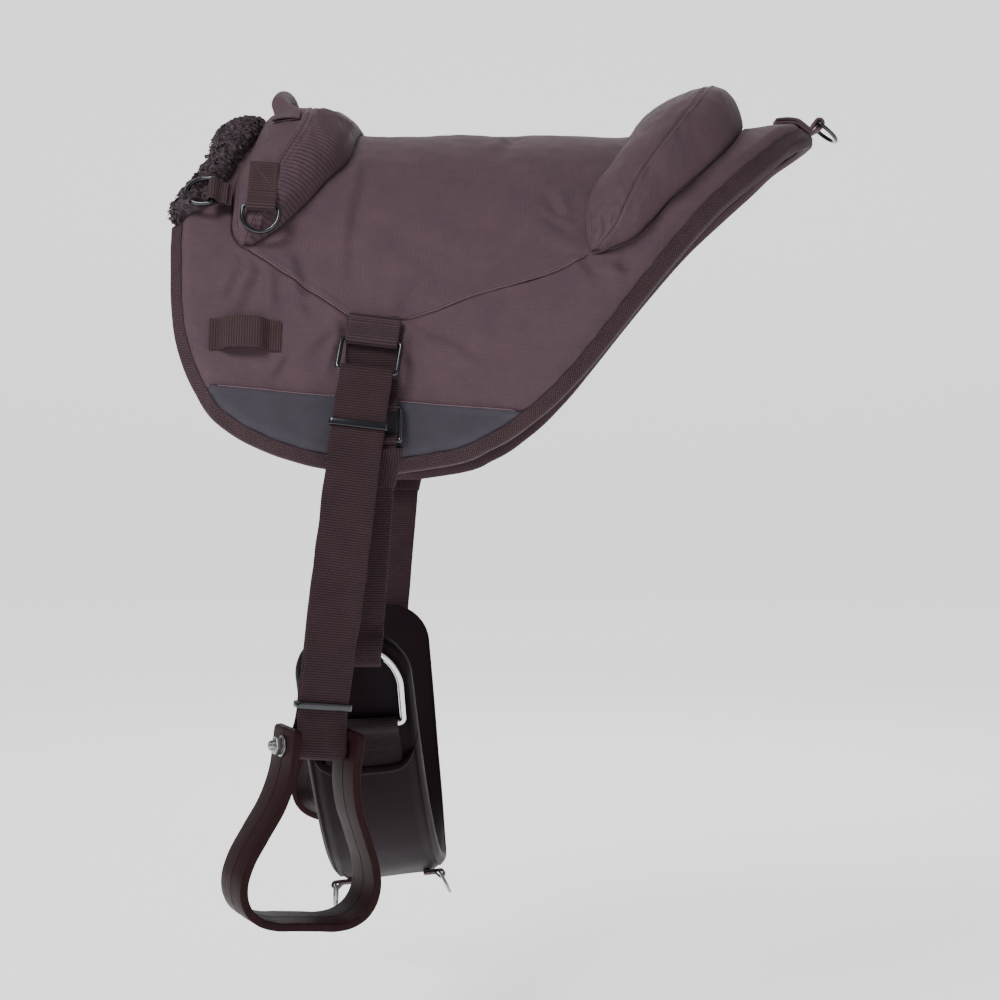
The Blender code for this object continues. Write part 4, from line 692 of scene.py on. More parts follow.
skirt_step = 0.0026
skirt_arcs = np.concatenate((
    pattern_rows(0.0, seam_tip_arc, skirt_step)[:-1],
    pattern_rows(seam_tip_arc, hanger_arc, skirt_step)[:-1],
    pattern_rows(hanger_arc, cover_drop, skirt_step),
))
sides = (("left", -1), ("right", 1))
for side_name, side in sides:
    skirt_parts = (
        spaced(inset_front(skirt_arcs), front_seam(skirt_arcs) - seam_gap, 44),
        spaced(front_seam(skirt_arcs), rear_seam(skirt_arcs), 90),
        spaced(rear_seam(skirt_arcs) + seam_gap, inset_rear(skirt_arcs), 56),
    )
    skirt_x = np.concatenate(skirt_parts, axis=1)
    skirt_arc = np.broadcast_to(skirt_arcs[:, None], skirt_x.shape)
    first = skirt_parts[0].shape[1]
    second = first + skirt_parts[1].shape[1]
    keep = np.ones((skirt_x.shape[0] - 1, skirt_x.shape[1] - 1), bool)
    above = skirt_arcs[:-1] < hanger_arc - 1e-6
    keep[above, first - 1:second] = False
    beside_fleece = np.minimum(pommel_front(skirt_arc), wither_rear(skirt_arc) - 0.004)
    under_fleece = (skirt_x < beside_fleece) & (skirt_arc < wither_drop)
    keep[:, :first - 1] &= ~(under_fleece[:-1, :first - 1] | under_fleece[:-1, 1:first])
    skirt_seam = distance_to(seam_line, skirt_x, skirt_arc)
    low = skirt_arc > hanger_arc - 0.001
    inside = (skirt_x > hanger_front_x - 0.001) & (skirt_x < hanger_rear_x + 0.001)
    skirt_seam = np.where(low & inside, np.minimum(skirt_seam, np.abs(skirt_arc - hanger_arc)), skirt_seam)
    skirt_lift = cover_top(skirt_x, skirt_arc) + hem(skirt_seam - seam_gap, 0.0010)
    skirt = shell(
        f"{side_name}_skirt", "pad",
        on_barrel(skirt_x, side * skirt_arc, skirt_lift),
        on_barrel(skirt_x, side * skirt_arc, cover_low(skirt_x, skirt_arc)),
        (skirt_x, skirt_arc), skirt_cloth, keep,
    )

# Wear patches: pebbled slate-grey leathercloth sewn over each skirt's lower edge, where the
# stirrup straps rub. Its upper edge is folded under and shows as a thin pale line.
wear = new_finish("wear_patch", rgb(64, 58, 68), 0.5, Specular_IOR_Level=0.3)
wear_place = place_on(wear, "UV")
pebbles = add_step(wear, "TexVoronoi", {"Vector": wear_place, "Scale": 1500.0}, feature="DISTANCE_TO_EDGE")[0]
pebbles = calculate(wear, "MINIMUM", calculate(wear, "MULTIPLY", pebbles, 4.0), 1.0)
scuffs = add_noise(wear, wear_place, 34.0, 7.0, 0.65)
wear_colour = blend_colours(wear, scuffs, rgb(50, 45, 55), rgb(76, 70, 82))
# Painted shade: the leathercloth darkens at the edges of its pebbles, in the grooves between them.
pebble_groove_shade = calculate(wear, "MULTIPLY_ADD", pebbles, 0.35, 0.65)
wear_colour = blend_colours(wear, pebble_groove_shade, rgb(34, 30, 37), wear_colour)
plug_in(wear, Base_Color=wear_colour, Normal=add_bumps(wear, pebbles, 0.6, 0.0003))
patch_front_x = -0.2455
patch_rear_x = 0.018
patch_front_arc = 0.347
patch_rear_arc = 0.365
patch_rise = 0.0022
patch_depth = 0.068
low_outline = cover_outline[cover_outline[:, 1] > patch_front_arc - 0.040]
low_outline = low_outline[np.argsort(low_outline[:, 0])]
patch_columns = np.linspace(patch_front_x, patch_rear_x, 125)
patch_shares = np.linspace(near_edge[-1] / patch_depth, 1, 28)[1:]
patch_shares = np.concatenate((near_edge / patch_depth, patch_shares))
patch_low_arc = np.interp(patch_columns, low_outline[:, 0], low_outline[:, 1])
patch_high_arc = patch_front_arc + (patch_rear_arc - patch_front_arc) * np.linspace(0, 1, len(patch_columns))
patch_high_arc = np.minimum(patch_high_arc, patch_low_arc - seam_gap)
patch_arc = patch_high_arc + (patch_low_arc - patch_high_arc) * patch_shares[:, None]
patch_x = np.broadcast_to(patch_columns, patch_arc.shape)
from_fold = patch_arc - patch_high_arc
patch_lift = cover_top(patch_x, patch_arc)
patch_fold = 0.0008 * (1 - ease((from_fold - 0.004) / 0.003)) + hem(from_fold, 0.0016)
for side_name, side in sides:
    patch = shell(
        f"{side_name}_wear_patch", "pad",
        on_barrel(patch_x, side * patch_arc, patch_lift + patch_rise + patch_fold),
        on_barrel(patch_x, side * patch_arc, patch_lift + 0.0002),
        (patch_x, patch_arc), wear,
    )
fold_arcs = patch_high_arc[4:-2] + 0.0007
fold_columns = patch_columns[4:-2]
fold_runs = [
    thread_line(fold_columns, fold_arcs, side, cover_top(fold_columns, fold_arcs) + patch_rise + 0.0007)
    for side in (-1, 1)
]
stitching(
    "wear_patch_stitching", "pad", fold_runs, pale_thread,
    pitch=0.0030, length=0.0029, radius=0.00034,
)

# Edge binding: a soft twill tape folded over the pad's edge and sewn through all its layers, from
# the left shoulder round the tail to the right one. Its diagonal ribs show where it rolls over.
binding_thickness = 0.0013
binding_leg = 0.0108
binding_corner = 0.0036
binding_step = 0.0016
binding_stitch_reach = 0.0086


def webbing_finish(name, pitch, colour, shade, slant=0.0):
    """Woven webbing: ribs across its width, or slanting, with the warp's fine lines along it, and painted
    shade in the hollows between the ribs.
    """
    made = new_finish(name, colour, 0.74, Sheen_Weight=0.03, Sheen_Roughness=0.5, Specular_IOR_Level=0.14)
    place = place_on(made, "UV")
    split = add_step(made, "SeparateXYZ", {0: place})
    along = calculate(made, "MULTIPLY_ADD", split[0], slant, split[1])
    ribs = add_wave(made, along, pitch)
    ribs = calculate(made, "MULTIPLY_ADD", ribs, 0.5, 0.5)
    picks = add_wave(made, split[0], pitch * 0.86)
    bricks = calculate(made, "MULTIPLY", picks, add_wave(made, split[1], 2 * pitch))
    ribs = calculate(made, "MULTIPLY_ADD", calculate(made, "MULTIPLY", ribs, bricks), 0.85, ribs)
    ends = add_wave(made, split[0], 0.0008)
    fibres = add_noise(made, place, 700.0, 3.0)
    wear_marks = add_noise(made, place, 45.0, 4.0)
    # Painted shade: the colour goes from the pale colour on the ribs to the dark shade colour in the hollows
    # between them.
    share = calculate(made, "MULTIPLY", ribs, calculate(made, "MULTIPLY_ADD", fibres, 1.1, 0.35))
    tone = blend_colours(made, share, shade, colour)
    tone = blend_colours(made, calculate(made, "MULTIPLY", wear_marks, 0.35), tone, toned(colour, 1.35))
    height = calculate(made, "MULTIPLY_ADD", ends, 0.12, calculate(made, "MULTIPLY_ADD", fibres, 0.3, ribs))
    plug_in(made, Base_Color=tone, Normal=add_bumps(made, height, 0.6, pitch / 5))
    return made


twill = webbing_finish("binding_twill", 0.0023, rgb(78, 59, 64), rgb(30, 20, 24), slant=0.9)


def patch_share(x, arc):
    """1 over the wear patches and 0 beside them."""
    ends = ease((x - patch_front_x + 0.005) / 0.006) * ease((patch_rear_x + 0.005 - x) / 0.006)
    return ends * ease((np.abs(arc) - patch_front_arc + 0.016) / 0.004)


def on_edge(route, inward, leg, share, rise):
    """Points on the bound edge: leg is the reach inward, share is 0 beneath the pad and 1 above it."""
    x = route[:, :1] + inward[:, :1] * leg
    arc = route[:, 1:] + inward[:, 1:] * leg
    high = cover_top(x, arc) + patch_rise * patch_share(x, arc) + 0.0003
    return on_barrel(x, arc, -0.0006 + (high + 0.0006) * share + rise)


def edge_fold(corner, thickness):
    """The tape's section, as reaches inward, shares of the edge's height and rises."""
    turn = np.linspace(0, math.pi / 2, 6)
    start = binding_corner - corner
    rim = (binding_leg, binding_leg - 0.0003, binding_leg - 0.0009, 0.0093)
    run = np.array((*rim, binding_stitch_reach, 0.0080, 0.0068, 0.0054))
    cut = np.array((0.30, 0.75, 1.0, 0.9, 0.55, 0.9, 1.0, 1.0))
    upper_turn = corner * (1 - np.sin(turn))
    lower_turn = corner * (1 - np.cos(turn))
    leg = np.concatenate((run, start + upper_turn, start + lower_turn, run[::-1]))
    rise = (thickness * cut, thickness - lower_turn, -thickness + upper_turn, -thickness * cut[::-1])
    return leg, np.repeat((1.0, 0.0), len(leg) // 2), np.concatenate(rise)


def reach_along(points):
    """How far each point of a flat line is from its start, along it."""
    return np.concatenate(([0.0], np.cumsum(np.hypot(*np.diff(points, axis=0).T))))


bound = outline[(outline[:, 1] >= binding_start) | (outline[:, 0] > 0)]
bound_reach = reach_along(bound)
bound_steps = np.linspace(0.0, bound_reach[-1], round(bound_reach[-1] / binding_step))
right_route = np.stack([np.interp(bound_steps, bound_reach, bound[:, axis]) for axis in (0, 1)], axis=1)
route = np.concatenate((right_route * (1, -1), right_route[-2::-1]))
route_ways = np.gradient(route, axis=0)
smoothing = 6
window = 2 * smoothing + 1
for axis in (0, 1):
    longer = np.pad(route_ways[:, axis], smoothing, mode="edge")
    route_ways[:, axis] = np.convolve(longer, np.full(window, 1 / window), "valid")
route_ways /= np.hypot(*route_ways.T)[:, None]
route_inward = np.stack((-route_ways[:, 1], route_ways[:, 0]), axis=1)
outer_leg, outer_share, outer_rise = edge_fold(binding_corner, binding_thickness)
inner_leg, inner_share, inner_rise = edge_fold(binding_corner - binding_thickness, 0.0)
section_reach = np.linspace(-0.5, 0.5, len(outer_leg)) * (2 * binding_leg + 0.012)
route_reach = np.arange(len(route)) * binding_step
binding_pucker = 0.00025 * np.sin(route_reach / 0.0043)[:, None]
binding_pucker = binding_pucker * np.clip(outer_share, 0, 1) * (outer_leg > 0.0078)
shell(
    "edge_binding", "pad",
    on_edge(route, route_inward, outer_leg, outer_share, outer_rise + binding_pucker),
    on_edge(route, route_inward, inner_leg, inner_share, inner_rise),
    (section_reach, route_reach[:, None]), twill,
)
stitch_line, above_stitches = (
    on_edge(route, route_inward, binding_stitch_reach, 1.0, rise)[:, 0]
    for rise in (binding_thickness * 0.7, 0.002)
)
stitching(
    "edge_binding_stitching", "pad", [(stitch_line, above_stitches - stitch_line)], dark_thread,
    pitch=0.0038, length=0.0031, radius=0.00042,
)

# Fleece folded forward over the withers: the lining's pile side, brushed into curls that lie down
# the shoulder. It narrows beside the roll, where the cover's nylon shows under the ring's tab.
wither_pile = 0.0150
wither_overhang = 0.0085
wither_base_height = 0.0022
wither_tab_arc = 0.182
tab_hollow_x = -0.268


def rounded_rise(distance, radius):
    """The share of its height that a rounded rim has reached, by the distance from its border."""
    inside = np.clip(distance / radius, 0, 1)
    return np.sqrt(inside * (2 - inside))


wither_side = np.linspace(0.0, wither_drop, 230)
wither_arcs = np.concatenate((-wither_side[:0:-1], wither_side))
wither_end = np.minimum(wither_rear(wither_arcs), pommel_front(wither_arcs) - seam_gap)
wither_x = spaced(inset_front(wither_arcs) + 0.0002, wither_end, 62)
wither_arc = np.broadcast_to(wither_arcs[:, None], wither_x.shape)
wither_span = np.minimum(wither_x - wither_x[:, :1], wither_x[:, -1:] - wither_x)
wither_round = rounded_rise(wither_span, 0.010)
wither_round = wither_round * np.sqrt(np.clip((wither_drop - np.abs(wither_arc)) / 0.006, 0, 1))
comb = wither_arc + 0.35 * wither_x
tufts = 1 - np.abs(hills(wither_x * 1.4, comb * 2.6, 0.0105, 21))
tufts = 0.65 * tufts + 0.35 * (1 - np.abs(hills(wither_x * 1.6, comb * 2.2, 0.0048, 22)))
wither_height = wither_base_height + (wither_pile - wither_base_height) * wither_round
wither_height = wither_height * (0.62 + 0.5 * np.clip(tufts, 0, 1))
spine_share = np.exp(-((wither_arc / 0.065) ** 2))
wither_height = wither_height * (1 - 0.35 * spine_share)
under_tab = np.exp(-(((np.abs(wither_arc) - wither_tab_arc) / 0.014) ** 4))
under_tab = under_tab * ease((wither_x - tab_hollow_x) / 0.008)
wither_height = wither_height * (1 - 0.42 * under_tab)
wither_roll = 1 - ease((wither_x - wither_x[:, :1]) / 0.018)
wither_front = wither_x - (wither_overhang + 0.0100 * spine_share) * wither_roll * wither_round
wither_base = cover_low(wither_x, wither_arc) - 0.0004
wither_lift = wither_base + wither_height
wither_fleece = shell(
    "wither_fleece", "pad", on_barrel(wither_front, wither_arc, wither_lift),
    on_barrel(wither_x, wither_arc, wither_base), (wither_x, wither_arc), fleece,
)


def tufting(name, places, seed, count, finish):
    """Curls of pile on a grid of (x, arc, lift) places: short curved locks that taper to their tips."""
    dice = np.random.default_rng(seed)
    rows, columns = places[0].shape
    row = dice.uniform(0, rows - 1, count * 3)
    column = dice.uniform(0, columns - 1, count * 3)
    picked = np.stack((row, column)).astype(int)
    x, arc, lift = (grid[picked[0], picked[1]] for grid in places)
    chosen = np.flatnonzero(lift > 0.0060 + cover_low(x, arc))[:count]
    x, arc, lift = x[chosen], arc[chosen], lift[chosen]
    root = on_barrel(x, arc, lift)
    out = (on_barrel(x, arc, lift + 0.001) - root) / 0.001
    lean = dice.normal(0.0, 0.75, len(x))
    down = on_barrel(x, arc + np.where(arc < 0, -0.001, 0.001), lift) - root
    down /= np.linalg.norm(down, axis=1, keepdims=True)
    ahead = np.cross(out, down)
    ahead *= -np.sign(ahead[:, :1] + 1e-9)
    way = ahead * np.cos(lean + 0.35)[:, None] + down * np.sin(lean + 0.35)[:, None]
    across = np.cross(way, out)
    length = dice.uniform(0.0050, 0.0095, len(x))[:, None]
    rise = dice.uniform(0.0010, 0.0030, len(x))[:, None]
    bend = dice.normal(0.0, 0.0016, len(x))[:, None]
    fat = dice.uniform(0.0010, 0.0017, len(x))[:, None]
    corners = np.linspace(0, 2 * math.pi, 5)[:-1]
    stations = np.linspace(0, 1, 7)
    rings = []
    for share in stations:
        middle = root + way * length * (share - 0.3) + out * (rise * math.sin(math.pi * share) - 0.0012)
        middle = middle + across * bend * math.sin(2.2 * math.pi * share)
        thick = fat * (1 - 0.75 * abs(share - 0.4) ** 1.5 / 0.6)
        ring = [middle + (across * math.cos(a) + out * math.sin(a)) * thick for a in corners]
        rings.append(np.stack(ring, axis=1))
    return square_tubes(name, "pad", np.stack(rings, axis=1), (0.0, 0.0), finish)


off_tab = np.where(under_tab > 0.3, 0.0, wither_lift)
tufting("wither_fleece_curls", (wither_front, wither_arc, off_tab), 23, 3700, fleece)

# Pommel and cantle rolls: a foam insert under a cover of two panels, joined along the ridge with
# a felled seam. The pommel's rear panel is a ribbed grip cloth, and both covers are gathered at their tips.
roll_base_gap = 0.0005
pommel_height = 0.0185
pommel_swell = 0.64
cantle_height = 0.0400
swell_arc = 0.120
rib_pitch = 0.0038
rib_height = 0.0014
rib_arcs = (0.050, 0.200)
roll_tip = seam_tip_arc - 2 * seam_gap


def pommel_ridge(arc):
    return np.full(np.shape(arc), 0.53)


def cantle_ridge(arc):
    return 0.70 - 0.10 * ease(np.abs(arc) / swell_arc)


def roll_lift(x, arc, front, rear, ridge, height, swell, bulge):
    """The top of a roll's foam: steep at both bases, crowned between, and running out at its tips."""
    share = np.clip((x - front(arc)) / np.maximum(rear(arc) - front(arc), 1e-5), 0, 1)
    middle = ridge(arc)
    reach = np.where(share < middle, (middle - share) / middle, (share - middle) / (1 - middle))
    rise = np.maximum(1 - np.minimum(reach, 1) ** np.where(share < middle, bulge, 2.4), 0) ** 0.7
    tall = height * (1 + swell * ease(np.abs(arc) / swell_arc))
    tall = tall * np.sqrt(np.maximum(1 - (np.abs(arc) / seam_tip_arc) ** 3, 0))
    return cover_top(x, arc) + roll_base_gap + tall * rise


def roll_panel(name, form, rear_side, finish, ribbed=False):
    """One panel of a roll's cover, from a base to the ridge, with a folded seam along each side."""
    front, rear, ridge = form[:3]
    tip_start = roll_tip - 0.006
    side_arcs = np.linspace(tip_start, roll_tip, 12)
    side_arcs = np.concatenate((np.linspace(0.0, tip_start, 150)[:-1], side_arcs))
    if ribbed:
        side_arcs = np.linspace(0.0, roll_tip, 420)
    arcs = np.concatenate((-side_arcs[:0:-1], side_arcs))
    crest = front(arcs) + (rear(arcs) - front(arcs)) * ridge(arcs)
    if rear_side:
        x = spaced(crest + seam_gap / 2, rear(arcs) - seam_gap, 34)
    else:
        x = spaced(front(arcs) + seam_gap, crest - seam_gap / 2, 40)
    arc = np.broadcast_to(arcs[:, None], x.shape)
    low = roll_lift(x, arc, *form)
    from_crest = np.abs(x - crest[:, None])
    from_base = np.minimum(np.abs(x - front(arc)), np.abs(x - rear(arc)))
    near_tip = ease((np.abs(arc) - seam_tip_arc + 0.055) / 0.050)
    gathers = 0.0017 * near_tip * np.sin((from_crest - from_base) / 0.0042 + 3 * hills(x, arc, 0.030, 31))
    slack = 0.0011 * hills(x, arc * 0.7, 0.050, 32) + 0.0005 * hills(x * 1.5, arc, 0.016, 33)
    away = ease(from_crest / 0.006) * ease(from_base / 0.006)
    lift = (gathers + slack) * away + hem(from_crest, 0.0004) + hem(from_base - seam_gap, 0.0004)
    if rear_side:
        lift = lift + 0.0005 * (1 - ease((from_crest - 0.0045) / 0.0015)) * ease(from_crest / 0.0010)
    if ribbed:
        inside = ease((np.abs(arc) - rib_arcs[0]) / 0.004) * ease((rib_arcs[1] - np.abs(arc)) / 0.004)
        inside = inside * ease((from_crest - 0.006) / 0.003) * ease((from_base - 0.003) / 0.003)
        ridges = np.abs(np.cos(math.pi * np.abs(arc) / rib_pitch)) ** 0.7
        lift = lift + rib_height * ridges * inside
    lift = np.maximum(lift, -0.0011)
    panel = shell(
        name, "pad", on_barrel(x, arc, low + cover_thickness + lift),
        on_barrel(x, arc, low + np.minimum(lift, 0)), (x, arc), finish,
    )
    runs = []
    from_side = 0.0036 if rear_side else -0.0030
    for line in (crest + from_side,) if rear_side else (crest + from_side, front(arcs) + 0.0042):
        rest = roll_lift(line, arcs, *form) + cover_thickness + 0.0005
        points, outs = thread_line(line, arcs, 1, rest)
        runs.append((points[2:-2], outs[2:-2]))
    stitching(
        f"{name}_stitching", "pad", runs, faded_thread, pitch=0.0031, length=0.0027, radius=0.00028
    )


def roll_foam(name, form):
    front, rear = form[:2]
    arcs = np.linspace(-roll_tip + 0.004, roll_tip - 0.004, 160)
    x = spaced(front(arcs) + 0.0012, rear(arcs) - 0.0012, 44)
    arc = np.broadcast_to(arcs[:, None], x.shape)
    high = roll_lift(x, arc, *form) - 0.0022
    low = cover_top(x, arc) + roll_base_gap
    core = shell(
        name, "pad", on_barrel(x, arc, np.maximum(high, low + 0.0002)), on_barrel(x, arc, low), (x, arc),
        foam,
    )


grip_cloth = cloth_finish("nylon_grip", False, rib_pitch)
base_arcs = np.linspace(0.030, seam_tip_arc - 0.002, 160)
base_x = cantle_rear(base_arcs) + 0.0022
base_runs = [thread_line(base_x, base_arcs, side, cover_top(base_x, base_arcs) + 0.0002) for side in (-1, 1)]
stitching(
    "cantle_base_stitching", "pad", base_runs, pale_thread,
    pitch=0.0031, length=0.0028, radius=0.00028,
)
pommel_form = (pommel_front, pommel_rear, pommel_ridge, pommel_height, pommel_swell, 2.4)
cantle_form = (cantle_front, cantle_rear, cantle_ridge, cantle_height, 0.0, 1.7)
roll_foam("pommel_foam", pommel_form)
roll_foam("cantle_foam", cantle_form)
roll_panel("pommel_top_panel", pommel_form, False, seat_cloth)
roll_panel("pommel_ribbed_panel", pommel_form, True, grip_cloth, True)
roll_panel("cantle_front_panel", cantle_form, False, seat_cloth)
roll_panel("cantle_rear_panel", cantle_form, True, seat_cloth)

# Webbing tabs for the D-rings: one inch nylon webbing, folded round each ring's bar and box-stitched
# through the cover. The tail's tab is a thicker strip folded from the cover's own cloth.
tab_width = 0.0254
tab_webbing = 0.0016
web_gap = 0.0003
ring_wire = 0.0020
slope_room = 0.0007
ribbon_step = 0.0012
tab_bend = ring_wire + web_gap + tab_webbing / 2
tab_spacing = tab_webbing + web_gap
tab_web = webbing_finish("webbing_one_inch", 0.0022, rgb(78, 59, 62), rgb(32, 23, 25))


def smooth_path(points, step):
    """Even places along a smooth curve through a list of points."""
    points = np.array(points, float)
    chords = reach_along(points)
    return smoothed(chords, points, np.linspace(0.0, chords[-1], max(round(chords[-1] / step), 8)))


def ribbon(name, body, path, width, thickness, place, finish, wander=0.0003, seed=1):
    """Webbing along a path of (along, out) places. place(across, along, out) sets it in space."""
    centre = smooth_path(path, ribbon_step)
    ways = np.gradient(centre, axis=0)
    ways /= np.hypot(*ways.T)[:, None]
    ups = np.stack((-ways[:, 1], ways[:, 0]), axis=1)
    reach = reach_along(centre)
    shares = np.concatenate((near_edge[:3] / 0.02, np.linspace(0.10, 0.90, 11), 1 - near_edge[2::-1] / 0.02))
    across = (shares - 0.5) * width
    rim = np.minimum(shares, 1 - shares) * width
    thick = thickness * (0.5 + 0.5 * ease(rim / 0.0009) + 0.06 * np.exp(-((rim - 0.0016) / 0.0008) ** 2))
    drift = wander * hills(reach / 0.6, np.zeros_like(reach), 0.060, seed)[:, None]
    sideways = across + drift * 0.6 + 0 * reach[:, None]
    grids = []
    for level in (0.5, -0.5):
        along = centre[:, :1] + ups[:, :1] * thick * level
        out = centre[:, 1:] + ups[:, 1:] * thick * level
        grids.append(place(sideways, along, out))
    return shell(name, body, grids[0], grids[1], (across, reach[:, None]), finish)


def bar_turn(along, out, bend):
    """Half a turn of webbing round a bar, from beneath it to above it."""
    angles = np.linspace(-math.pi / 2, math.pi / 2, 9)
    return [(along + bend * math.cos(angle), out + bend * math.sin(angle)) for angle in angles]


def loop_path(length, bend, spacing, neck, return_length):
    """A run to a bar at (0, 0), round it, and back on top, resting on the run beneath."""
    rest = spacing - bend
    path = [(along, -bend) for along in np.linspace(-length, -neck, 5)] + [(-neck / 2, -bend)]
    path += bar_turn(0.0, 0.0, bend)
    path += [(-neck * share, bend + (rest - bend) * float(ease(share))) for share in (0.25, 0.5, 0.75, 1.0)]
    path += [(along, rest) for along in np.linspace(-neck, -return_length, 4)[1:]]
    return path


def unit(vector):
    return vector / np.linalg.norm(vector)


def bar_frame(place, half_width):
    """The middle of a bar under webbing, and the direction along the bar."""
    first = place(-half_width, 0.0, 0.0)
    last = place(half_width, 0.0, 0.0)
    return (first + last) / 2, unit(last - first)


pommel_tab_x = -0.2060
pommel_bar_arc = 0.202
pommel_tab_length = 0.042
tab_neck = 0.008
tab_return = 0.013
pressed_pile = 0.011
wither_bar_x = -0.2505
wither_tab_length = 0.0165
sloped_bend = tab_bend + slope_room
wither_front_x = float(pommel_front(wither_tab_arc))
wither_rest = float(cover_low(np.array(wither_front_x), np.array(wither_tab_arc))) - cover_room
wither_rest = wither_rest + pressed_pile + 2 * web_gap


def pommel_top(x, arc):
    return roll_lift(x, arc, *pommel_form) + cover_thickness


def pommel_tab_place(side):
    def place(across, down, out):
        arc = pommel_bar_arc + np.minimum(down, 0.0)
        crest = pommel_front(arc) + (pommel_rear(arc) - pommel_front(arc)) * 0.53
        lift = pommel_top(crest, arc) + 0.0012 + web_gap + tab_webbing / 2 + tab_bend - 0.0009
        return on_barrel(pommel_tab_x + across, side * (pommel_bar_arc + down), lift + out)
    return place


def wither_tab_place(side):
    skin = on_barrel(wither_bar_x, side * np.array((wither_tab_arc, wither_tab_arc + 0.0004)), 0.0)
    way = unit(skin[1] - skin[0])

    def place(across, down, out):
        lift = wither_rest + tab_webbing / 2 + sloped_bend + out
        here = on_barrel(wither_bar_x - down, side * wither_tab_arc, lift)
        return here + np.asarray(across)[..., None] * way
    return place


tail_webbing = 0.0031
tail_bar_x = 0.3045
tail_bar_lift = 0.0205
tail_tab_run = 0.036
tail_edge_x = rear_reach
tail_bend = ring_wire + web_gap + tail_webbing / 2 + slope_room
tail_leg_x = tail_edge_x - binding_leg
tail_bound = binding_thickness + 0.0006 + tail_webbing / 2
tail_start_x = tail_edge_x - tail_tab_run


def tail_place(across, along, out):
    here = on_barrel(tail_bar_x + np.asarray(along), 0.0, out)
    return here + np.asarray(across)[..., None] * np.array((0.0, 1.0, 0.0))


def sewn_lines(place, out, corners):
    """Runs of stitches between corners given across and along webbing, on its outer face."""
    runs = []
    for (first_across, first_along), (last_across, last_along) in zip(corners, corners[1:]):
        share = np.linspace(0, 1, 12)
        across = first_across + (last_across - first_across) * share
        along = first_along + (last_along - first_along) * share
        low = place(across, along, np.full(share.shape, out))
        high = place(across, along, np.full(share.shape, out + 0.001))
        runs.append((low, (high - low) / 0.001))
    return runs


def box_corners(half_width, start, end):
    """A rectangle with both its diagonals, sewn in one go."""
    return [
        (-half_width, start), (half_width, start), (half_width, end), (-half_width, end),
        (-half_width, start), (half_width, end), (half_width, start), (-half_width, end),
    ]


web_thread = thread_finish("thread_brown", rgb(88, 66, 70))
pommel_tab_path = loop_path(pommel_tab_length, tab_bend, tab_spacing, tab_neck, tab_return)
wither_tab_path = loop_path(wither_tab_length, sloped_bend, tab_spacing, tab_neck, tab_return)
for side_name, side in sides:
    place = pommel_tab_place(side)
    ribbon(f"{side_name}_pommel_ring_tab", "pad", pommel_tab_path, tab_width, tab_webbing, place, tab_web)
    tab_runs = sewn_lines(place, tab_webbing / 2 - tab_bend, box_corners(0.0098, -0.0395, -0.0160))
    stitching(
        f"{side_name}_pommel_tab_stitching", "pad", tab_runs, web_thread,
        pitch=0.0030, length=0.0025, radius=0.00034,
    )
    place = wither_tab_place(side)
    ribbon(f"{side_name}_wither_ring_tab", "pad", wither_tab_path, tab_width, tab_webbing, place, tab_web)


def tail_rest(x, room):
    """Where the tail's tab lies along the spine, as a place from its bar and a height."""
    return x - tail_bar_x, float(cover_top(np.array(x), np.array(0.0))) + room


tail_run = [
    tail_rest(tail_start_x, 0.0005 + tail_webbing / 2),
    tail_rest(tail_start_x + 0.012, 0.0004 + tail_webbing / 2),
    tail_rest(tail_leg_x - 0.004, 0.0006 + tail_webbing / 2),
    tail_rest(tail_leg_x + 0.002, tail_bound),
    tail_rest(tail_edge_x - 0.003, tail_bound + 0.0006),
]
tail_back = [(along, out + tail_webbing + web_gap) for along, out in tail_run[::-1]]
tail_path = tail_run + bar_turn(0.0, tail_bar_lift, tail_bend) + tail_back
ribbon("tail_ring_tab", "pad", tail_path, tab_width, tail_webbing, tail_place, skirt_cloth)

# Rings: D-rings and loops bent from round wire, closed by a weld in the middle of the bar. The
# small ones are painted black, the loops of the hangers too, and the belly rings are plain steel.
loop_wire = 0.0021
loop_half_width = 0.0253
loop_corner = 0.0032
ring_half_width = 0.0158
ring_depth = 0.0235
ring_corner = 0.003
wither_ring_rise = math.radians(5)
tail_ring_lean = math.radians(39)


def metal_finish(name, colour, roughness, metallic, marks):
    """Plated or painted wire, with faint smears in its gloss and fine pits."""
    made = new_finish(name, colour, roughness, Metallic=metallic)
    place = place_on(made, "Object")
    smears = add_noise(made, place, 130.0, 4.0)
    pits = add_noise(made, place, 900.0, 2.0)
    rough = calculate(made, "MULTIPLY_ADD", smears, marks, roughness - marks / 2)
    tone = blend_colours(made, smears, colour, toned(colour, 1.25, 0.004))
    plug_in(made, Base_Color=tone, Roughness=rough, Normal=add_bumps(made, pits, 0.12, 0.0001))
    return made


black_paint = metal_finish("black_painted_wire", rgb(30, 31, 38), 0.20, 0.6, 0.10)
black_shader = black_paint.node_tree.nodes["Principled BSDF"]
black_shader.inputs["Coat Weight"].default_value = 0.8
black_shader.inputs["Coat Roughness"].default_value = 0.08
polished = metal_finish("chrome", rgb(214, 214, 218), 0.10, 1.0, 0.08)
plain_steel = metal_finish("plain_steel", rgb(150, 150, 150), 0.30, 1.0, 0.16)


def ring_outline(half_width, depth, corner, rounded):
    """A ring in its own plane, from the middle of its bar round to it again, as (across, down) places."""
    turn = np.linspace(0, math.pi / 2, 9)
    right = [(half_width - corner + corner * math.sin(a), corner - corner * math.cos(a)) for a in turn]
    if rounded:
        straight = max(depth - half_width, corner)
        bow = np.linspace(0, math.pi / 2, 25)
        right += [(half_width * math.cos(a), straight + (depth - straight) * math.sin(a)) for a in bow]
    else:
        inner = half_width - corner
        right += [(inner + corner * math.cos(a), depth - corner + corner * math.sin(a)) for a in turn]
        right.append((0.0, depth))
    left = [(-across, down) for across, down in reversed(right) if across > 1e-6]
    return right + left


def square_to(direction, axis):
    """The direction without its part along the axis."""
    return unit(direction - axis * (direction @ axis))


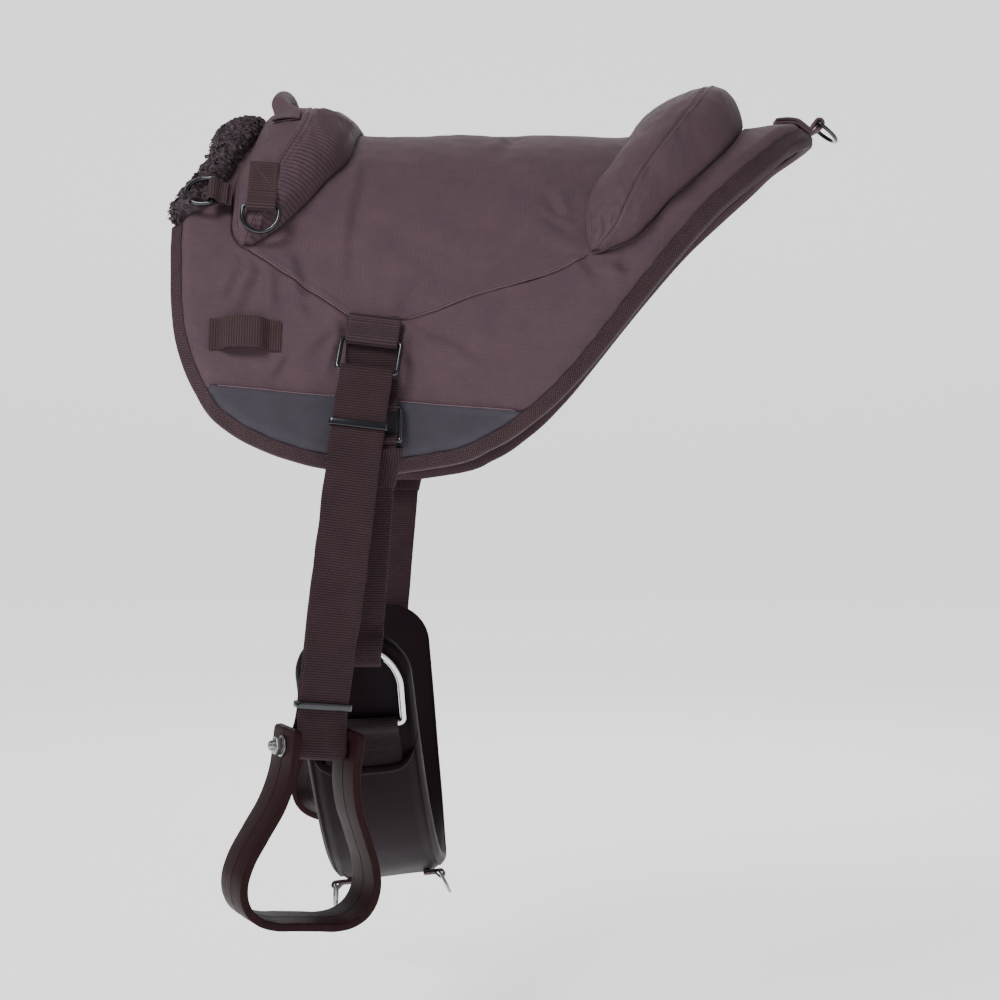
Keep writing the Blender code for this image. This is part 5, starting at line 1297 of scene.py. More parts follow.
def drawn_curve(name, points, closed, dimensions="3D"):
    """A curve of straight steps through flat points."""
    bpy.ops.curve.primitive_bezier_circle_add()
    curve = bpy.context.object
    curve.name = name
    curve.data.dimensions = dimensions
    curve.data.splines.clear()
    spline = curve.data.splines.new("POLY")
    spline.points.add(len(points) - 1)
    for point, (first, second) in zip(spline.points, points):
        point.co = (first, second, 0, 1)
    spline.use_cyclic_u = closed
    return curve


def put_in_place(piece, centre, axes, finish):
    """Sets a piece that was made round the origin at its centre, along its own three axes."""
    rows = [(*row, place) for row, place in zip(np.stack(axes, axis=1), centre)]
    piece.data.transform(Matrix(rows + [(0, 0, 0, 1)]))
    piece.matrix_world = Matrix.Identity(4)
    piece.data.materials.clear()
    piece.data.materials.append(finish)
    piece.data.shade_smooth()


def wire_ring(name, body, centre, across, down, points, radius, finish, flatten=1.0):
    """Round wire bent to a closed ring, with a slight swelling where its ends are welded."""
    ring = drawn_curve(name, points, True)
    for point, place in zip(ring.data.splines[0].points, points):
        point.radius = 1 + 0.10 * math.exp(-(math.hypot(*place) / 0.0018) ** 2)
    ring.data.bevel_depth = radius
    ring.data.bevel_resolution = 5
    bpy.ops.object.convert(target="MESH")
    ring = bpy.context.object
    put_in_place(ring, centre, (across, down, np.cross(across, down) * flatten), finish)
    bpy.ops.object.mode_set(mode="EDIT")
    bpy.ops.mesh.select_all(action="SELECT")
    bpy.ops.mesh.normals_make_consistent(inside=False)
    bpy.ops.object.mode_set(mode="OBJECT")
    bpy.ops.object.select_all(action="DESELECT")
    return settle(ring, name, body)


tab_ring = ring_outline(ring_half_width, ring_depth, ring_corner, True)
for side_name, side in sides:
    centre, across = bar_frame(pommel_tab_place(side), tab_width / 2)
    far = on_barrel(pommel_tab_x, side * (pommel_bar_arc + ring_depth), 0.036)
    down = square_to(far - centre, across)
    wire_ring(
        f"{side_name}_pommel_d_ring", f"{side_name}_pommel_ring", centre, across, down,
        tab_ring, ring_wire, black_paint,
    )
    centre, across = bar_frame(wither_tab_place(side), tab_width / 2)
    skin = on_barrel(wither_bar_x, side * wither_tab_arc, np.array((0.0, 0.1)))
    out = square_to(skin[1] - skin[0], across)
    forward = square_to(np.array((-1.0, 0, 0)), across)
    down = square_to(forward * math.cos(wither_ring_rise) - out * math.sin(wither_ring_rise), across)
    wire_ring(
        f"{side_name}_wither_d_ring", f"{side_name}_wither_ring", centre, across, down,
        tab_ring, ring_wire, black_paint,
    )
tail_down = np.array((math.cos(tail_ring_lean), 0, -math.sin(tail_ring_lean)))
wire_ring(
    "tail_d_ring", "tail_ring", tail_place(0.0, 0.0, tail_bar_lift), np.array((0.0, 1.0, 0.0)), tail_down,
    tab_ring, ring_wire, black_paint,
)

# Keeper straps for the latigo's spare end: a short length of one inch webbing on each skirt, sewn
# down with two rows of stitches at both ends and standing loose between them.
keeper_front_x = -0.247
keeper_length = 0.061
keeper_arc = 0.306
keeper_bulge = 0.0085


def keeper_top(share):
    """How high the cover is under a place along the keeper."""
    return float(cover_top(np.array(keeper_front_x + keeper_length * share), np.array(keeper_arc)))


for side_name, side in sides:
    keeper_path = []
    for share in np.linspace(0, 1, 21):
        loose = float(ease((share - 0.13) / 0.16) * ease((0.87 - share) / 0.16))
        rest = keeper_top(share) + tab_webbing / 2 + 0.0002
        rise = keeper_bulge * loose * math.sin(math.pi * share) ** 0.3
        keeper_path.append((keeper_length * share, rest + rise))

    def keeper_place(across, along, out, side=side):
        return on_barrel(keeper_front_x + along, side * (keeper_arc + across), out)

    ribbon(f"{side_name}_keeper_strap", "pad", keeper_path, tab_width, tab_webbing, keeper_place, tab_web)
    keeper_runs = []
    for share in (0.035, 0.085, 0.915, 0.965):
        along = keeper_length * share
        rest = keeper_top(share) + tab_webbing + 0.0003
        keeper_runs += sewn_lines(keeper_place, rest, [(-0.0110, along), (0.0110, along)])
    stitching(
        f"{side_name}_keeper_stitching", "pad", keeper_runs, web_thread,
        pitch=0.0026, length=0.0022, radius=0.00032,
    )

# Grab handle: a tube of the cover's cloth stuffed firm, arched over the pommel, and folded flat and
# sewn down on the roll at each end.
handle_radius = 0.0082
handle_x = -0.2030
handle_top_z = 0.0690
handle_end_x = -0.1935
handle_end_arc = 0.101
handle_end_half_width = 0.0130
handle_end_half_thickness = 0.0021
handle_tube_arc = 0.058
handle_flat_arc = 0.086
handle_shares = np.linspace(-1, 1, 171)
handle_arcs = handle_end_arc * handle_shares
handle_flat = ease((np.abs(handle_arcs) - handle_tube_arc) / (handle_flat_arc - handle_tube_arc))
handle_wide = handle_radius + (handle_end_half_width - handle_radius) * handle_flat
handle_thick = handle_radius + (handle_end_half_thickness - handle_radius) * handle_flat
handle_slope = pommel_top(handle_end_x + 0.003, handle_arcs) - pommel_top(handle_end_x - 0.003, handle_arcs)
handle_tilt = np.arctan(handle_slope / 0.006) * handle_flat
handle_rest = (handle_end_half_thickness - 0.0005) / np.cos(handle_tilt)
handle_rest = pommel_top(handle_end_x, handle_arcs) + handle_rest
handle_mid = handle_top_z - handle_radius - back_rise * (handle_x / back_half_length) ** 2
handle_lift = (handle_mid - 0.004 * handle_shares**2) * (1 - handle_flat) + handle_rest * handle_flat
handle_line = handle_x + (handle_end_x - handle_x) * handle_flat
handle_turn = np.linspace(0, 2 * math.pi, 49)
handle_squash = 1 - 0.06 * handle_flat[:, None] * np.sin(handle_turn) ** 2
handle_grids = []
for shrink in (0.0, 0.0012):
    along = (handle_wide[:, None] - shrink) * np.cos(handle_turn)
    out = (handle_thick[:, None] - shrink) * np.sin(handle_turn) * handle_squash
    out = out + 0.0003 * np.sin(handle_turn * 2 + handle_arcs[:, None] / 0.012)
    x = handle_line[:, None] + along * np.cos(handle_tilt)[:, None] - out * np.sin(handle_tilt)[:, None]
    up = along * np.sin(handle_tilt)[:, None] + out * np.cos(handle_tilt)[:, None]
    handle_grids.append(on_barrel(x, handle_arcs[:, None], handle_lift[:, None] + up))
shell(
    "grab_handle", "pad", handle_grids[0], handle_grids[1],
    (handle_turn * handle_radius, handle_arcs[:, None]), skirt_cloth,
)

# Hangers of wide nylon webbing: the girth's is sewn on the skirt and the stirrup's over it, both
# folded round the upper bars of their loops, with their cut ends stitched into the cover's seam.
hanger_web = webbing_finish("webbing_hanger", 0.0022, rgb(76, 59, 64), rgb(30, 21, 25))
strap_web = webbing_finish("webbing_two_inch", 0.00213, rgb(66, 47, 52), rgb(16, 9, 12))
strap_webbing = 0.0020
hanger_width = 0.044
hanger_x = -0.108
hanger_top_arc = 0.288
hanger_neck = 0.012
hanger_return = 0.020
stirrup_bar_arc = 0.311
cinch_bar_arc = 0.364
stirrup_ring_depth = 0.0300
cinch_low_bar_arc = 0.392
cinch_low_bar_lift = 0.0337
strap_tilt = math.radians(5.7)
stirrup_ring_lean = math.radians(27)
hanger_rest = float(cover_top(np.array(hanger_x), np.array(cinch_bar_arc))) + 0.0026 + 2 * web_gap
hanger_bend = loop_wire + web_gap + strap_webbing / 2
hanger_spacing = strap_webbing + web_gap
hanger_top = hanger_spacing - hanger_bend + strap_webbing / 2
cinch_bar_lift = hanger_rest + strap_webbing / 2 + hanger_bend
stirrup_bar_lift = cinch_bar_lift + hanger_spacing


def flat_place(arc, side, lift, turn=0.0):
    """Places on the barrel round a bar at the hangers: across it, down from it and out from it."""
    def place(across, down, out):
        along = across * math.cos(turn) - down * math.sin(turn)
        drop = down * math.cos(turn) + across * math.sin(turn)
        return on_barrel(hanger_x + along, side * (arc + drop), lift + out)
    return place


loop_ring = ring_outline(loop_half_width, stirrup_ring_depth, loop_corner, False)
strap_starts = {}
for side_name, side in sides:
    # The girth's hanger and its long loop
    place = flat_place(cinch_bar_arc, side, cinch_bar_lift)
    run = cinch_bar_arc - hanger_top_arc
    path = loop_path(run, hanger_bend, hanger_spacing, hanger_neck, hanger_return)
    ribbon(f"{side_name}_cinch_hanger", "pad", path, hanger_width, strap_webbing, place, strap_web)
    centre, across = bar_frame(place, hanger_width / 2)
    low_bar = on_barrel(hanger_x, side * cinch_low_bar_arc, cinch_low_bar_lift)
    down = square_to(low_bar - centre, across)
    long_loop = ring_outline(loop_half_width, (low_bar - centre) @ down, loop_corner, False)
    wire_ring(
        f"{side_name}_cinch_ring", "pad", centre, across, down, long_loop, loop_wire, black_paint,
    )

    # The stirrup's hanger and its loop, which leans outward
    place = flat_place(stirrup_bar_arc, side, stirrup_bar_lift, strap_tilt)
    run = stirrup_bar_arc - hanger_top_arc
    path = loop_path(run, hanger_bend, hanger_spacing, hanger_neck, hanger_return)
    ribbon(f"{side_name}_stirrup_hanger", "pad", path, hanger_width, strap_webbing, place, hanger_web)
    hanger_runs = []
    for along in (-0.0138, -0.0182):
        hanger_runs += sewn_lines(place, hanger_top, [(-0.0200, along), (0.0200, along)])
    stitching(
        f"{side_name}_hanger_stitching", "pad", hanger_runs, web_thread,
        pitch=0.0028, length=0.0024, radius=0.00034,
    )
    centre, across = bar_frame(place, hanger_width / 2)
    strap_down = square_to(np.array((0.0, 0.0, -1.0)), across)
    outward = np.cross(across, strap_down) * side
    down = strap_down * math.cos(stirrup_ring_lean) + outward * math.sin(stirrup_ring_lean)
    wire_ring(
        f"{side_name}_stirrup_ring", f"{side_name}_stirrup_ring", centre, across, down, loop_ring, loop_wire,
        black_paint,
    )
    strap_starts[side_name] = (centre + down * stirrup_ring_depth, across, strap_down, outward)

# Stirrup straps: one length of wide webbing, folded over its loop and round the stirrup's bolt into
# three layers, which two slides of flat black bar keep together. It hangs clear of the girth and
# turns to bring the stirrup outward.
strap_width = 0.0445
strap_length = 0.3155
strap_standoff = 0.0165
strap_standoff_length = 0.068
strap_straight_length = 0.125
strap_end_lift = 0.0205
strap_twist = math.radians(30)
strap_twist_ends = (0.130, 0.250)
strap_tail_start = 0.156
strap_widening = 0.024
strap_neck = 0.012
layer_pitch = strap_webbing + 0.0006
front_layer = layer_pitch / 2
middle_layer = -layer_pitch / 2
back_layer = -layer_pitch * 3 / 2
strap_bend = hanger_bend + 0.0002
roller_radius = 0.0075
roller_bend = roller_radius + 0.0005 + strap_webbing / 2
roller_out = middle_layer / 2
slide_height = 0.0056
slide_wall = 0.0022
slide_room = 0.0004
slide_corner = 0.0016


def strap_offset(along):
    """How far the strap stands out from the plumb line under its loop."""
    slope = strap_standoff / strap_standoff_length
    share = np.clip((along - strap_standoff_length) / (strap_straight_length - strap_standoff_length), 0, 1)
    curve = strap_standoff + (strap_end_lift - strap_standoff) * np.sin(math.pi / 2 * share)
    return np.where(along <= strap_standoff_length, slope * along, curve)


def strap_frames(strap_top, across, strap_down, outward):
    """Gives frame_at(along): the strap's middle there, and its directions across and outward."""
    def frame_at(along):
        along = np.asarray(along, float)[..., None]
        twist_share = (along - strap_twist_ends[0]) / (strap_twist_ends[1] - strap_twist_ends[0])
        twist = strap_twist * ease(twist_share)
        middle = strap_top + strap_down * along + outward * strap_offset(along)
        turned_across = across * np.cos(twist) - outward * np.sin(twist)
        return middle, turned_across, outward * np.cos(twist) + across * np.sin(twist)
    return frame_at


def strap_path():
    widening = strap_length - strap_widening
    back = [(widening + strap_widening * share, float(ease(share))) for share in (0.25, 0.5, 0.75)]
    low = roller_out - roller_bend
    high = roller_out + roller_bend
    path = [(along, back_layer) for along in np.linspace(strap_tail_start, widening, 9)]
    path += [(along, back_layer + (low - back_layer) * share) for along, share in back]
    path += bar_turn(strap_length, roller_out, roller_bend)
    path += [(along, front_layer + (high - front_layer) * share) for along, share in back[::-1]]
    path += [(along, front_layer) for along in np.linspace(widening, strap_neck, 15)]
    path.append((strap_neck / 2, (front_layer + strap_bend) / 2))
    path += [(-along, -out) for along, out in bar_turn(0.0, 0.0, strap_bend)]
    path.append((strap_neck / 2, (middle_layer - strap_bend) / 2))
    return path + [(along, middle_layer) for along in np.linspace(strap_neck, widening, 15)]


def swept(name, body, frame_axes, path, profile, finish, closed, shaping=None):
    """A section drawn as a curve and swept along another, and then shaped in its own axes."""
    bpy.ops.object.select_all(action="DESELECT")
    section = drawn_curve(f"{name}_section", profile, True, "2D")
    piece = drawn_curve(name, path, closed)
    piece.data.twist_mode = "Z_UP"
    piece.data.bevel_mode = "OBJECT"
    piece.data.bevel_object = section
    piece.data.use_fill_caps = not closed
    bpy.ops.object.select_all(action="DESELECT")
    piece.select_set(True)
    bpy.context.view_layer.objects.active = piece
    bpy.ops.object.convert(target="MESH")
    bpy.data.objects.remove(section)
    piece = bpy.context.object
    bpy.ops.object.mode_set(mode="EDIT")
    bpy.ops.mesh.select_all(action="SELECT")
    bpy.ops.mesh.remove_doubles(threshold=0.00002)
    bpy.ops.mesh.normals_make_consistent(inside=False)
    if shaping:
        shape = bmesh.from_edit_mesh(piece.data)
        shaping(shape.verts)
        bmesh.update_edit_mesh(piece.data)
    bpy.ops.object.mode_set(mode="OBJECT")
    put_in_place(piece, *frame_axes, finish)
    piece.data.set_sharp_from_angle(angle=math.radians(30))
    bpy.ops.object.select_all(action="DESELECT")
    return settle(piece, name, body)


def rounded_box(half_width, half_height, corner, steps, groove=0.0):
    """A closed section with rounded corners, and a fine moulding line along the middle of two sides."""
    points = []
    for turn, side_way, up_way in ((0, 1, 1), (1, -1, 1), (2, -1, -1), (3, 1, -1)):
        for step in range(steps + 1):
            angle = math.pi / 2 * (turn + step / steps)
            across = side_way * (half_width - corner) + corner * math.cos(angle)
            points.append((across, up_way * (half_height - corner) + corner * math.sin(angle)))
        if groove and turn in (1, 3):
            face = side_way * half_width
            rises = ((0.0007, 0.0), (0.0003, groove), (-0.0003, groove), (-0.0007, 0.0))
            sign = 1 if turn == 1 else -1
            points += [(face + side_way * rise, sign * level) for level, rise in rises]
    return points


for side_name, side in sides:
    frame_at = strap_frames(*strap_starts[side_name])

    def strap_place(across_way, along, out, frame_at=frame_at):
        middle, turned_across, turned_out = frame_at(np.broadcast_arrays(across_way, along)[1])
        across_way, out = np.broadcast_arrays(across_way, out)
        return middle + turned_across * across_way[..., None] + turned_out * out[..., None]

    ribbon(
        f"{side_name}_stirrup_strap", f"{side_name}_strap", strap_path(), strap_width, strap_webbing,
        strap_place, strap_web, wander=0.0008, seed=40,
    )
    for slide_name, along, low_layer in (("upper", 0.046, middle_layer), ("lower", 0.2805, back_layer)):
        middle, slide_across, slide_out = frame_at(along)
        way = unit(frame_at(along + 0.004)[0] - middle)
        slide_out = square_to(slide_out, way)
        reach = strap_width / 2 + slide_room + slide_wall / 2
        low = low_layer - strap_webbing / 2 - slide_room - slide_wall / 2
        high = front_layer + strap_webbing / 2 + slide_room + slide_wall / 2
        slide_path = rounded_box(reach, (high - low) / 2, slide_corner, 4)
        slide_path = [(side_way, out + (high + low) / 2) for side_way, out in slide_path]
        swept(
            f"{side_name}_{slide_name}_slide", f"{side_name}_{slide_name}_slide",
            (middle, (slide_across, slide_out, way)), slide_path,
            rounded_box(slide_wall / 2, slide_height / 2, 0.0007, 3), black_paint, True,
        )


# Moulded stirrups: bell-bottomed, with a flat tread, rounded necks and a fine parting line along
# the middle of the band. Dark brown, polished, with faint lengthwise streaks.
stirrup_neck_rise = 0.0165
neck_half_width = 0.0283
stirrup_half_width = 0.0592
stirrup_height = 0.1445
stirrup_wall = 0.007
stirrup_width = 0.046
end_corner = 0.006
end_rim = 0.0026
leg_shares = (
    (0.125, 0.478), (0.32, 0.58), (0.50, 0.78), (0.66, 0.95), (0.77, 1.0), (0.86, 0.965), (0.93, 0.86),
    (0.975, 0.70), (1.0, 0.45), (1.0, 0.2), (1.0, 0.0),
)
leg = [(-neck_half_width, -stirrup_neck_rise), (-neck_half_width, -0.008), (-neck_half_width, 0.0)]
leg += [(-across * stirrup_half_width, down * stirrup_height) for down, across in leg_shares]
band_path = smooth_path(leg + [(-across, down) for across, down in reversed(leg[:-1])], 0.0011)
moulded = new_finish("polished_moulding", rgb(28, 16, 17), 0.55, Specular_IOR_Level=0.06)
moulded_place = place_on(moulded, "Object")
moulded_streaks = add_step(moulded, "Mapping", {"Vector": moulded_place, "Scale": (90.0, 90.0, 14.0)})[0]
streaks = add_noise(moulded, moulded_streaks, 3.0, 4.0)
specks = add_noise(moulded, moulded_place, 600.0, 2.0)
moulded_tone = blend_colours(moulded, streaks, rgb(28, 13, 16), rgb(48, 28, 30))
moulded_rough = calculate(moulded, "MULTIPLY_ADD", streaks, 0.24, 0.36)
moulded_bumps = add_bumps(moulded, specks, 0.10, 0.0001)
plug_in(moulded, Base_Color=moulded_tone, Roughness=moulded_rough, Normal=moulded_bumps)
band_section = rounded_box(stirrup_wall / 2, stirrup_width / 2, 0.0015, 4, 0.00025)


def quarter_round(into, radius):
    """How far a rounded rim draws in, by the distance from its end."""
    return radius - math.sqrt(radius**2 - (radius - into) ** 2)


def round_ends(verts):
    """Rounds the corners of the band's two ends, and then the rims of its wall there."""
    end_height = min(vert.co.y for vert in verts)
    half_width = max(vert.co.z for vert in verts)
    for vert in verts:
        into = vert.co.y - end_height
        if into < end_corner:
            vert.co.z *= 1 - quarter_round(into, end_corner) / half_width
        if into < end_rim:
            from_wall = vert.co.x - math.copysign(neck_half_width, vert.co.x)
            vert.co.x -= from_wall * (quarter_round(into, end_rim) / (stirrup_wall / 2))


bolt_places = {}
for side_name, side in sides:
    middle, bolt_axis, stirrup_out = strap_frames(*strap_starts[side_name])(strap_length)
    bolt_centre = middle + stirrup_out * roller_out
    bolt_places[side_name] = (bolt_centre, bolt_axis, stirrup_out)
    strap_down = strap_starts[side_name][2]
    swept(
        f"{side_name}_stirrup", f"{side_name}_stirrup", (bolt_centre, (bolt_axis, strap_down, stirrup_out)),
        band_path, band_section, moulded, False, round_ends,
    )

# Stirrup bolts: a plated bolt through both necks, with its round head on one side and, on the other,
# a washer and a hexagonal nut on its threaded end. A moulded roller on it carries the strap.
bolt_radius = 0.0040
bolt_face = neck_half_width + stirrup_wall / 2 + web_gap


def turned_piece(radius, start, end, sides_round, bevel, steps=2):
    """A cylinder or prism along x between two places, with bevelled rims."""
    bpy.ops.mesh.primitive_cylinder_add(
        vertices=sides_round, radius=radius, depth=end - start, location=((start + end) / 2, 0, 0),
        rotation=(0, math.radians(90), 0),
    )
    bpy.ops.object.transform_apply(location=True, rotation=True, scale=True)
    piece = bpy.context.object
    bpy.ops.object.mode_set(mode="EDIT")
    bpy.ops.mesh.select_all(action="DESELECT")
    shape = bmesh.from_edit_mesh(piece.data)
    for edge in shape.edges:
        edge.select = len(edge.link_faces) == 2 and any(len(face.verts) > 4 for face in edge.link_faces)
    bmesh.update_edit_mesh(piece.data)
    bpy.ops.mesh.bevel(offset=bevel, segments=steps, affect="EDGES", clamp_overlap=True)
    bpy.ops.object.mode_set(mode="OBJECT")
    return piece


def joined(parts, name, body, frame_axes, finish):
    bpy.ops.object.select_all(action="DESELECT")
    for part in parts:
        part.select_set(True)
    bpy.context.view_layer.objects.active = parts[0]
    bpy.ops.object.join()
    piece = bpy.context.object
    piece.name = name
    put_in_place(piece, *frame_axes, finish)
    piece.data.set_sharp_from_angle(angle=math.radians(30))
    bpy.ops.object.select_all(action="DESELECT")
    return settle(piece, name, body)


for side_name, side in sides:
    bolt_centre, bolt_axis, stirrup_out = bolt_places[side_name]
    bolt_axes = (bolt_axis, stirrup_out, np.cross(bolt_axis, stirrup_out))
    bolt_parts = [
        turned_piece(bolt_radius, -bolt_face - 0.0110, bolt_face + 0.0020, 32, 0.0004),
        turned_piece(0.0088, -bolt_face - 0.0012, -bolt_face, 40, 0.0003),
        turned_piece(0.0078, -bolt_face - 0.0074, -bolt_face - 0.0013, 6, 0.0007, 3),
        turned_piece(0.0052, -bolt_face - 0.0079, -bolt_face - 0.0020, 32, 0.0008),
        turned_piece(0.0030, -bolt_face - 0.0119, -bolt_face - 0.0100, 32, 0.0012, 4),
        turned_piece(0.0078, bolt_face, bolt_face + 0.0042, 40, 0.0024, 5),
    ]
    for turn in range(4):
        start = -bolt_face - 0.0104 + turn * 0.0007
        bolt_parts.append(turned_piece(bolt_radius + 0.0002, start, start + 0.00045, 32, 0.0001, 1))
    joined(
        bolt_parts, f"{side_name}_stirrup_bolt", f"{side_name}_stirrup", (bolt_centre, bolt_axes),
        plain_steel,
    )
    for material_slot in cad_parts[f"{side_name}_bolt_roller"].material_slots:
        material_slot.material = moulded

# Girth: a thick neoprene pad with a piped rim, a smooth cover wrapped round its middle, and two
# layers of webbing through it, sewn round the bar of a polished ring at each end.
girth_ring_x = -0.1215
girth_belly_x = belly_middle_x
cinch_wire = 0.0030
cinch_half_width = 0.0385
girth_webbing_width = 0.067
girth_pad_half_width = 0.050
girth_pad_thickness = 0.008
girth_end_radius = 0.040
girth_cover_reach = 7 / 8
girth_bar_arc = 0.628
girth_pad_top_arc = 0.548
pad_rim_height = 0.0012
cover_half_width = 0.0495
cover_side_height = 0.0030
cover_edge_height = 0.0098
cover_middle_height = 0.0146
bar_sigma = half_girth - girth_bar_arc
girth_pad_end = half_girth - girth_pad_top_arc
girth_cover_end = bar_sigma * girth_cover_reach
webbing_lift = girth_pad_thickness + web_gap + strap_webbing / 2
girth_bend = cinch_wire + web_gap + strap_webbing / 2
girth_bar_lift = webbing_lift + girth_bend


def girth_place(across, sigma, lift):
    """Places across the girth, along it from under the belly and out from the skin."""
    sigma = np.asarray(sigma, float)
    middle = girth_belly_x + (girth_ring_x - girth_belly_x) * (np.abs(sigma) / bar_sigma) ** 1.3
    arc = (half_girth - np.abs(sigma)) * np.where(sigma > 0, 1.0, -1.0)
    return on_barrel(middle + across, arc, lift)


def rubber_finish(name, colour, sheen):
    """Neoprene: smooth closed rubber with a fine skin, dull but with a soft sheen at grazing angles."""
    made = new_finish(name, colour, 0.62, Sheen_Weight=sheen, Sheen_Roughness=0.35, Specular_IOR_Level=0.07)
    place = place_on(made, "Object")
    skin = add_noise(made, place, 1400.0, 3.0)
    marks = add_noise(made, place, 35.0, 5.0)
    tone = blend_colours(made, marks, toned(colour, 0.82), toned(colour, 1.2))
    rough = calculate(made, "MULTIPLY_ADD", marks, 0.16, 0.44)
    plug_in(made, Base_Color=tone, Roughness=rough, Normal=add_bumps(made, skin, 0.18, 0.00015))
    return made


rubber = rubber_finish("neoprene_pad", rgb(26, 16, 22), 0.01)
smooth_rubber = rubber_finish("neoprene_cover", rgb(28, 17, 23), 0.02)


def rim_distance(across, sigma):
    """How far inside the pad's border a place is, round its two rounded corners at each end."""
    into = girth_pad_end - np.abs(sigma)
    beside = np.abs(across) - (girth_pad_half_width - girth_end_radius)
    corner = (into < girth_end_radius) & (beside > 0)
    round_way = girth_end_radius - np.hypot(beside, girth_end_radius - into)
    return np.where(corner, round_way, np.minimum(girth_pad_half_width - np.abs(across), into))


pad_shares = np.concatenate((near_edge / 0.1, np.linspace(near_edge[-1] / 0.1, 0.5, 22)[1:]))
pad_shares = np.concatenate((pad_shares, 1 - pad_shares[-2::-1])) * 2 - 1
pad_rows = np.concatenate((
    np.linspace(0, girth_pad_end - girth_end_radius, 90)[:-1],
    girth_pad_end - girth_end_radius * (1 - np.sin(np.linspace(0, math.pi / 2, 34))),
))
pad_rows = np.concatenate((-pad_rows[:0:-1], pad_rows))
pad_into = np.clip(girth_pad_end - np.abs(pad_rows), 0, girth_end_radius)
pad_cut = girth_end_radius - np.sqrt(girth_end_radius**2 - (girth_end_radius - pad_into) ** 2)
pad_across = (girth_pad_half_width - pad_cut)[:, None] * pad_shares
pad_sigma = np.broadcast_to(pad_rows[:, None], pad_across.shape)
pad_rim = np.maximum(rim_distance(pad_across, pad_sigma), 0)
pad_top = pad_rim_height + (girth_pad_thickness - pad_rim_height) * rounded_rise(pad_rim, 0.0045)
pad_top = pad_top + 0.0020 * np.exp(-(((pad_rim - 0.0042) / 0.0026) ** 2))
pad_top = pad_top - 0.0012 * ease((pad_rim - 0.006) / 0.002)
girth_pad = shell(
    "girth_pad", "girth", girth_place(pad_across, pad_sigma, pad_top),
    girth_place(pad_across, pad_sigma, 0.0010 - 0.0010 * rounded_rise(pad_rim, 0.004)),
    (pad_across, pad_sigma), rubber,
)

# The cover is drawn in towards its ends, where its piped rim curves up along the pad's two sides
cover_shares = np.concatenate((
    np.linspace(-1, -0.93, 8)[:-1], np.linspace(-0.93, 0.93, 60), np.linspace(0.93, 1, 8)[1:],
))
cover_rows = np.concatenate((np.linspace(0, 0.97, 90)[:-1], np.linspace(0.97, 1, 14)))
cover_rows = np.concatenate((-cover_rows[:0:-1], cover_rows))
cover_end = girth_cover_end - 0.010 + 0.030 * np.abs(cover_shares) ** 5
cover_sigma = cover_rows[:, None] * cover_end
cover_wide = ease((girth_cover_end - np.abs(cover_sigma)) / (girth_cover_end / 2))
cover_wide = cover_half_width + 0.0012 * cover_wide
cover_across = cover_shares * cover_wide
cover_side = cover_wide - np.abs(cover_across)
over_webbing = ease((0.0460 - np.abs(cover_across)) / 0.010)
cover_height = cover_edge_height + (cover_middle_height - cover_edge_height) * over_webbing
cover_high = cover_side_height + (cover_height - cover_side_height) * rounded_rise(cover_side, 0.0085)
from_rim = cover_end - np.abs(cover_sigma)
cover_high = cover_high + 0.0016 * np.exp(-(((from_rim - 0.0030) / 0.0020) ** 2))
cover_high = cover_high - 0.0005 * ease((from_rim - 0.0052) / 0.0010)
cover_high = cover_high - 0.0022 * (1 - rounded_rise(from_rim, 0.0022))
cover_high = cover_high + 0.0005 * hills(cover_across, cover_sigma, 0.060, 51)
girth_cover = shell(
    "girth_cover", "girth", girth_place(cover_across, cover_sigma, cover_high),
    girth_place(cover_across * 0.985, cover_sigma, cover_high - 0.0036 + 0.0006 * over_webbing),
    (cover_across, cover_sigma), smooth_rubber,
)

back_lift = webbing_lift + hanger_spacing
half_path = [(sigma, webbing_lift) for sigma in np.linspace(0, bar_sigma, 17)[:-1]]
half_path += bar_turn(bar_sigma, girth_bar_lift, girth_bend)
turn_top = girth_bar_lift + girth_bend
for share in (0.25, 0.5, 0.75, 1):
    lift = turn_top + (back_lift - turn_top) * float(ease(share))
    half_path.append((bar_sigma - hanger_neck * share, lift))
half_path.append((bar_sigma - 0.026, back_lift))
girth_path = [(-sigma, lift) for sigma, lift in reversed(half_path[1:])] + half_path
girth_web = webbing_finish("webbing_girth", 0.0019, rgb(42, 29, 33), rgb(20, 13, 16))
ribbon(
    "girth_webbing", "girth", girth_path, girth_webbing_width, strap_webbing, girth_place, girth_web,
    wander=0.0005, seed=60,
)

# Latigos: webbing passed through the hanger's loop and the girth's ring and back, then wrapped
# round itself in a flat knot
latigo_width = 0.044
latigo_fold_depth = 0.0085
latigo_widening = 0.014
knot_start = 0.005
knot_height = 0.034
cinch_ring_top_arc = 0.558
cinch_ring_top_lift = 0.0174
latigo_across = np.array((1.0, 0.0, 0.0))
top_bend = hanger_bend + 0.0011
low_bend = girth_bend + 0.0026
half_gap = (strap_webbing + web_gap * 2) / 2
seam = knot_start + knot_height * 0.6
knot_reach = latigo_width / 2 + 0.0026


def frame_place(centre, across, down, out):
    """Places in a fixed frame: across, down and out from its centre."""
    def place(across_way, down_way, out_way):
        ways = np.broadcast_arrays(across_way, down_way, out_way)
        return centre + sum(way[..., None] * direction for way, direction in zip(ways, (across, down, out)))
    return place


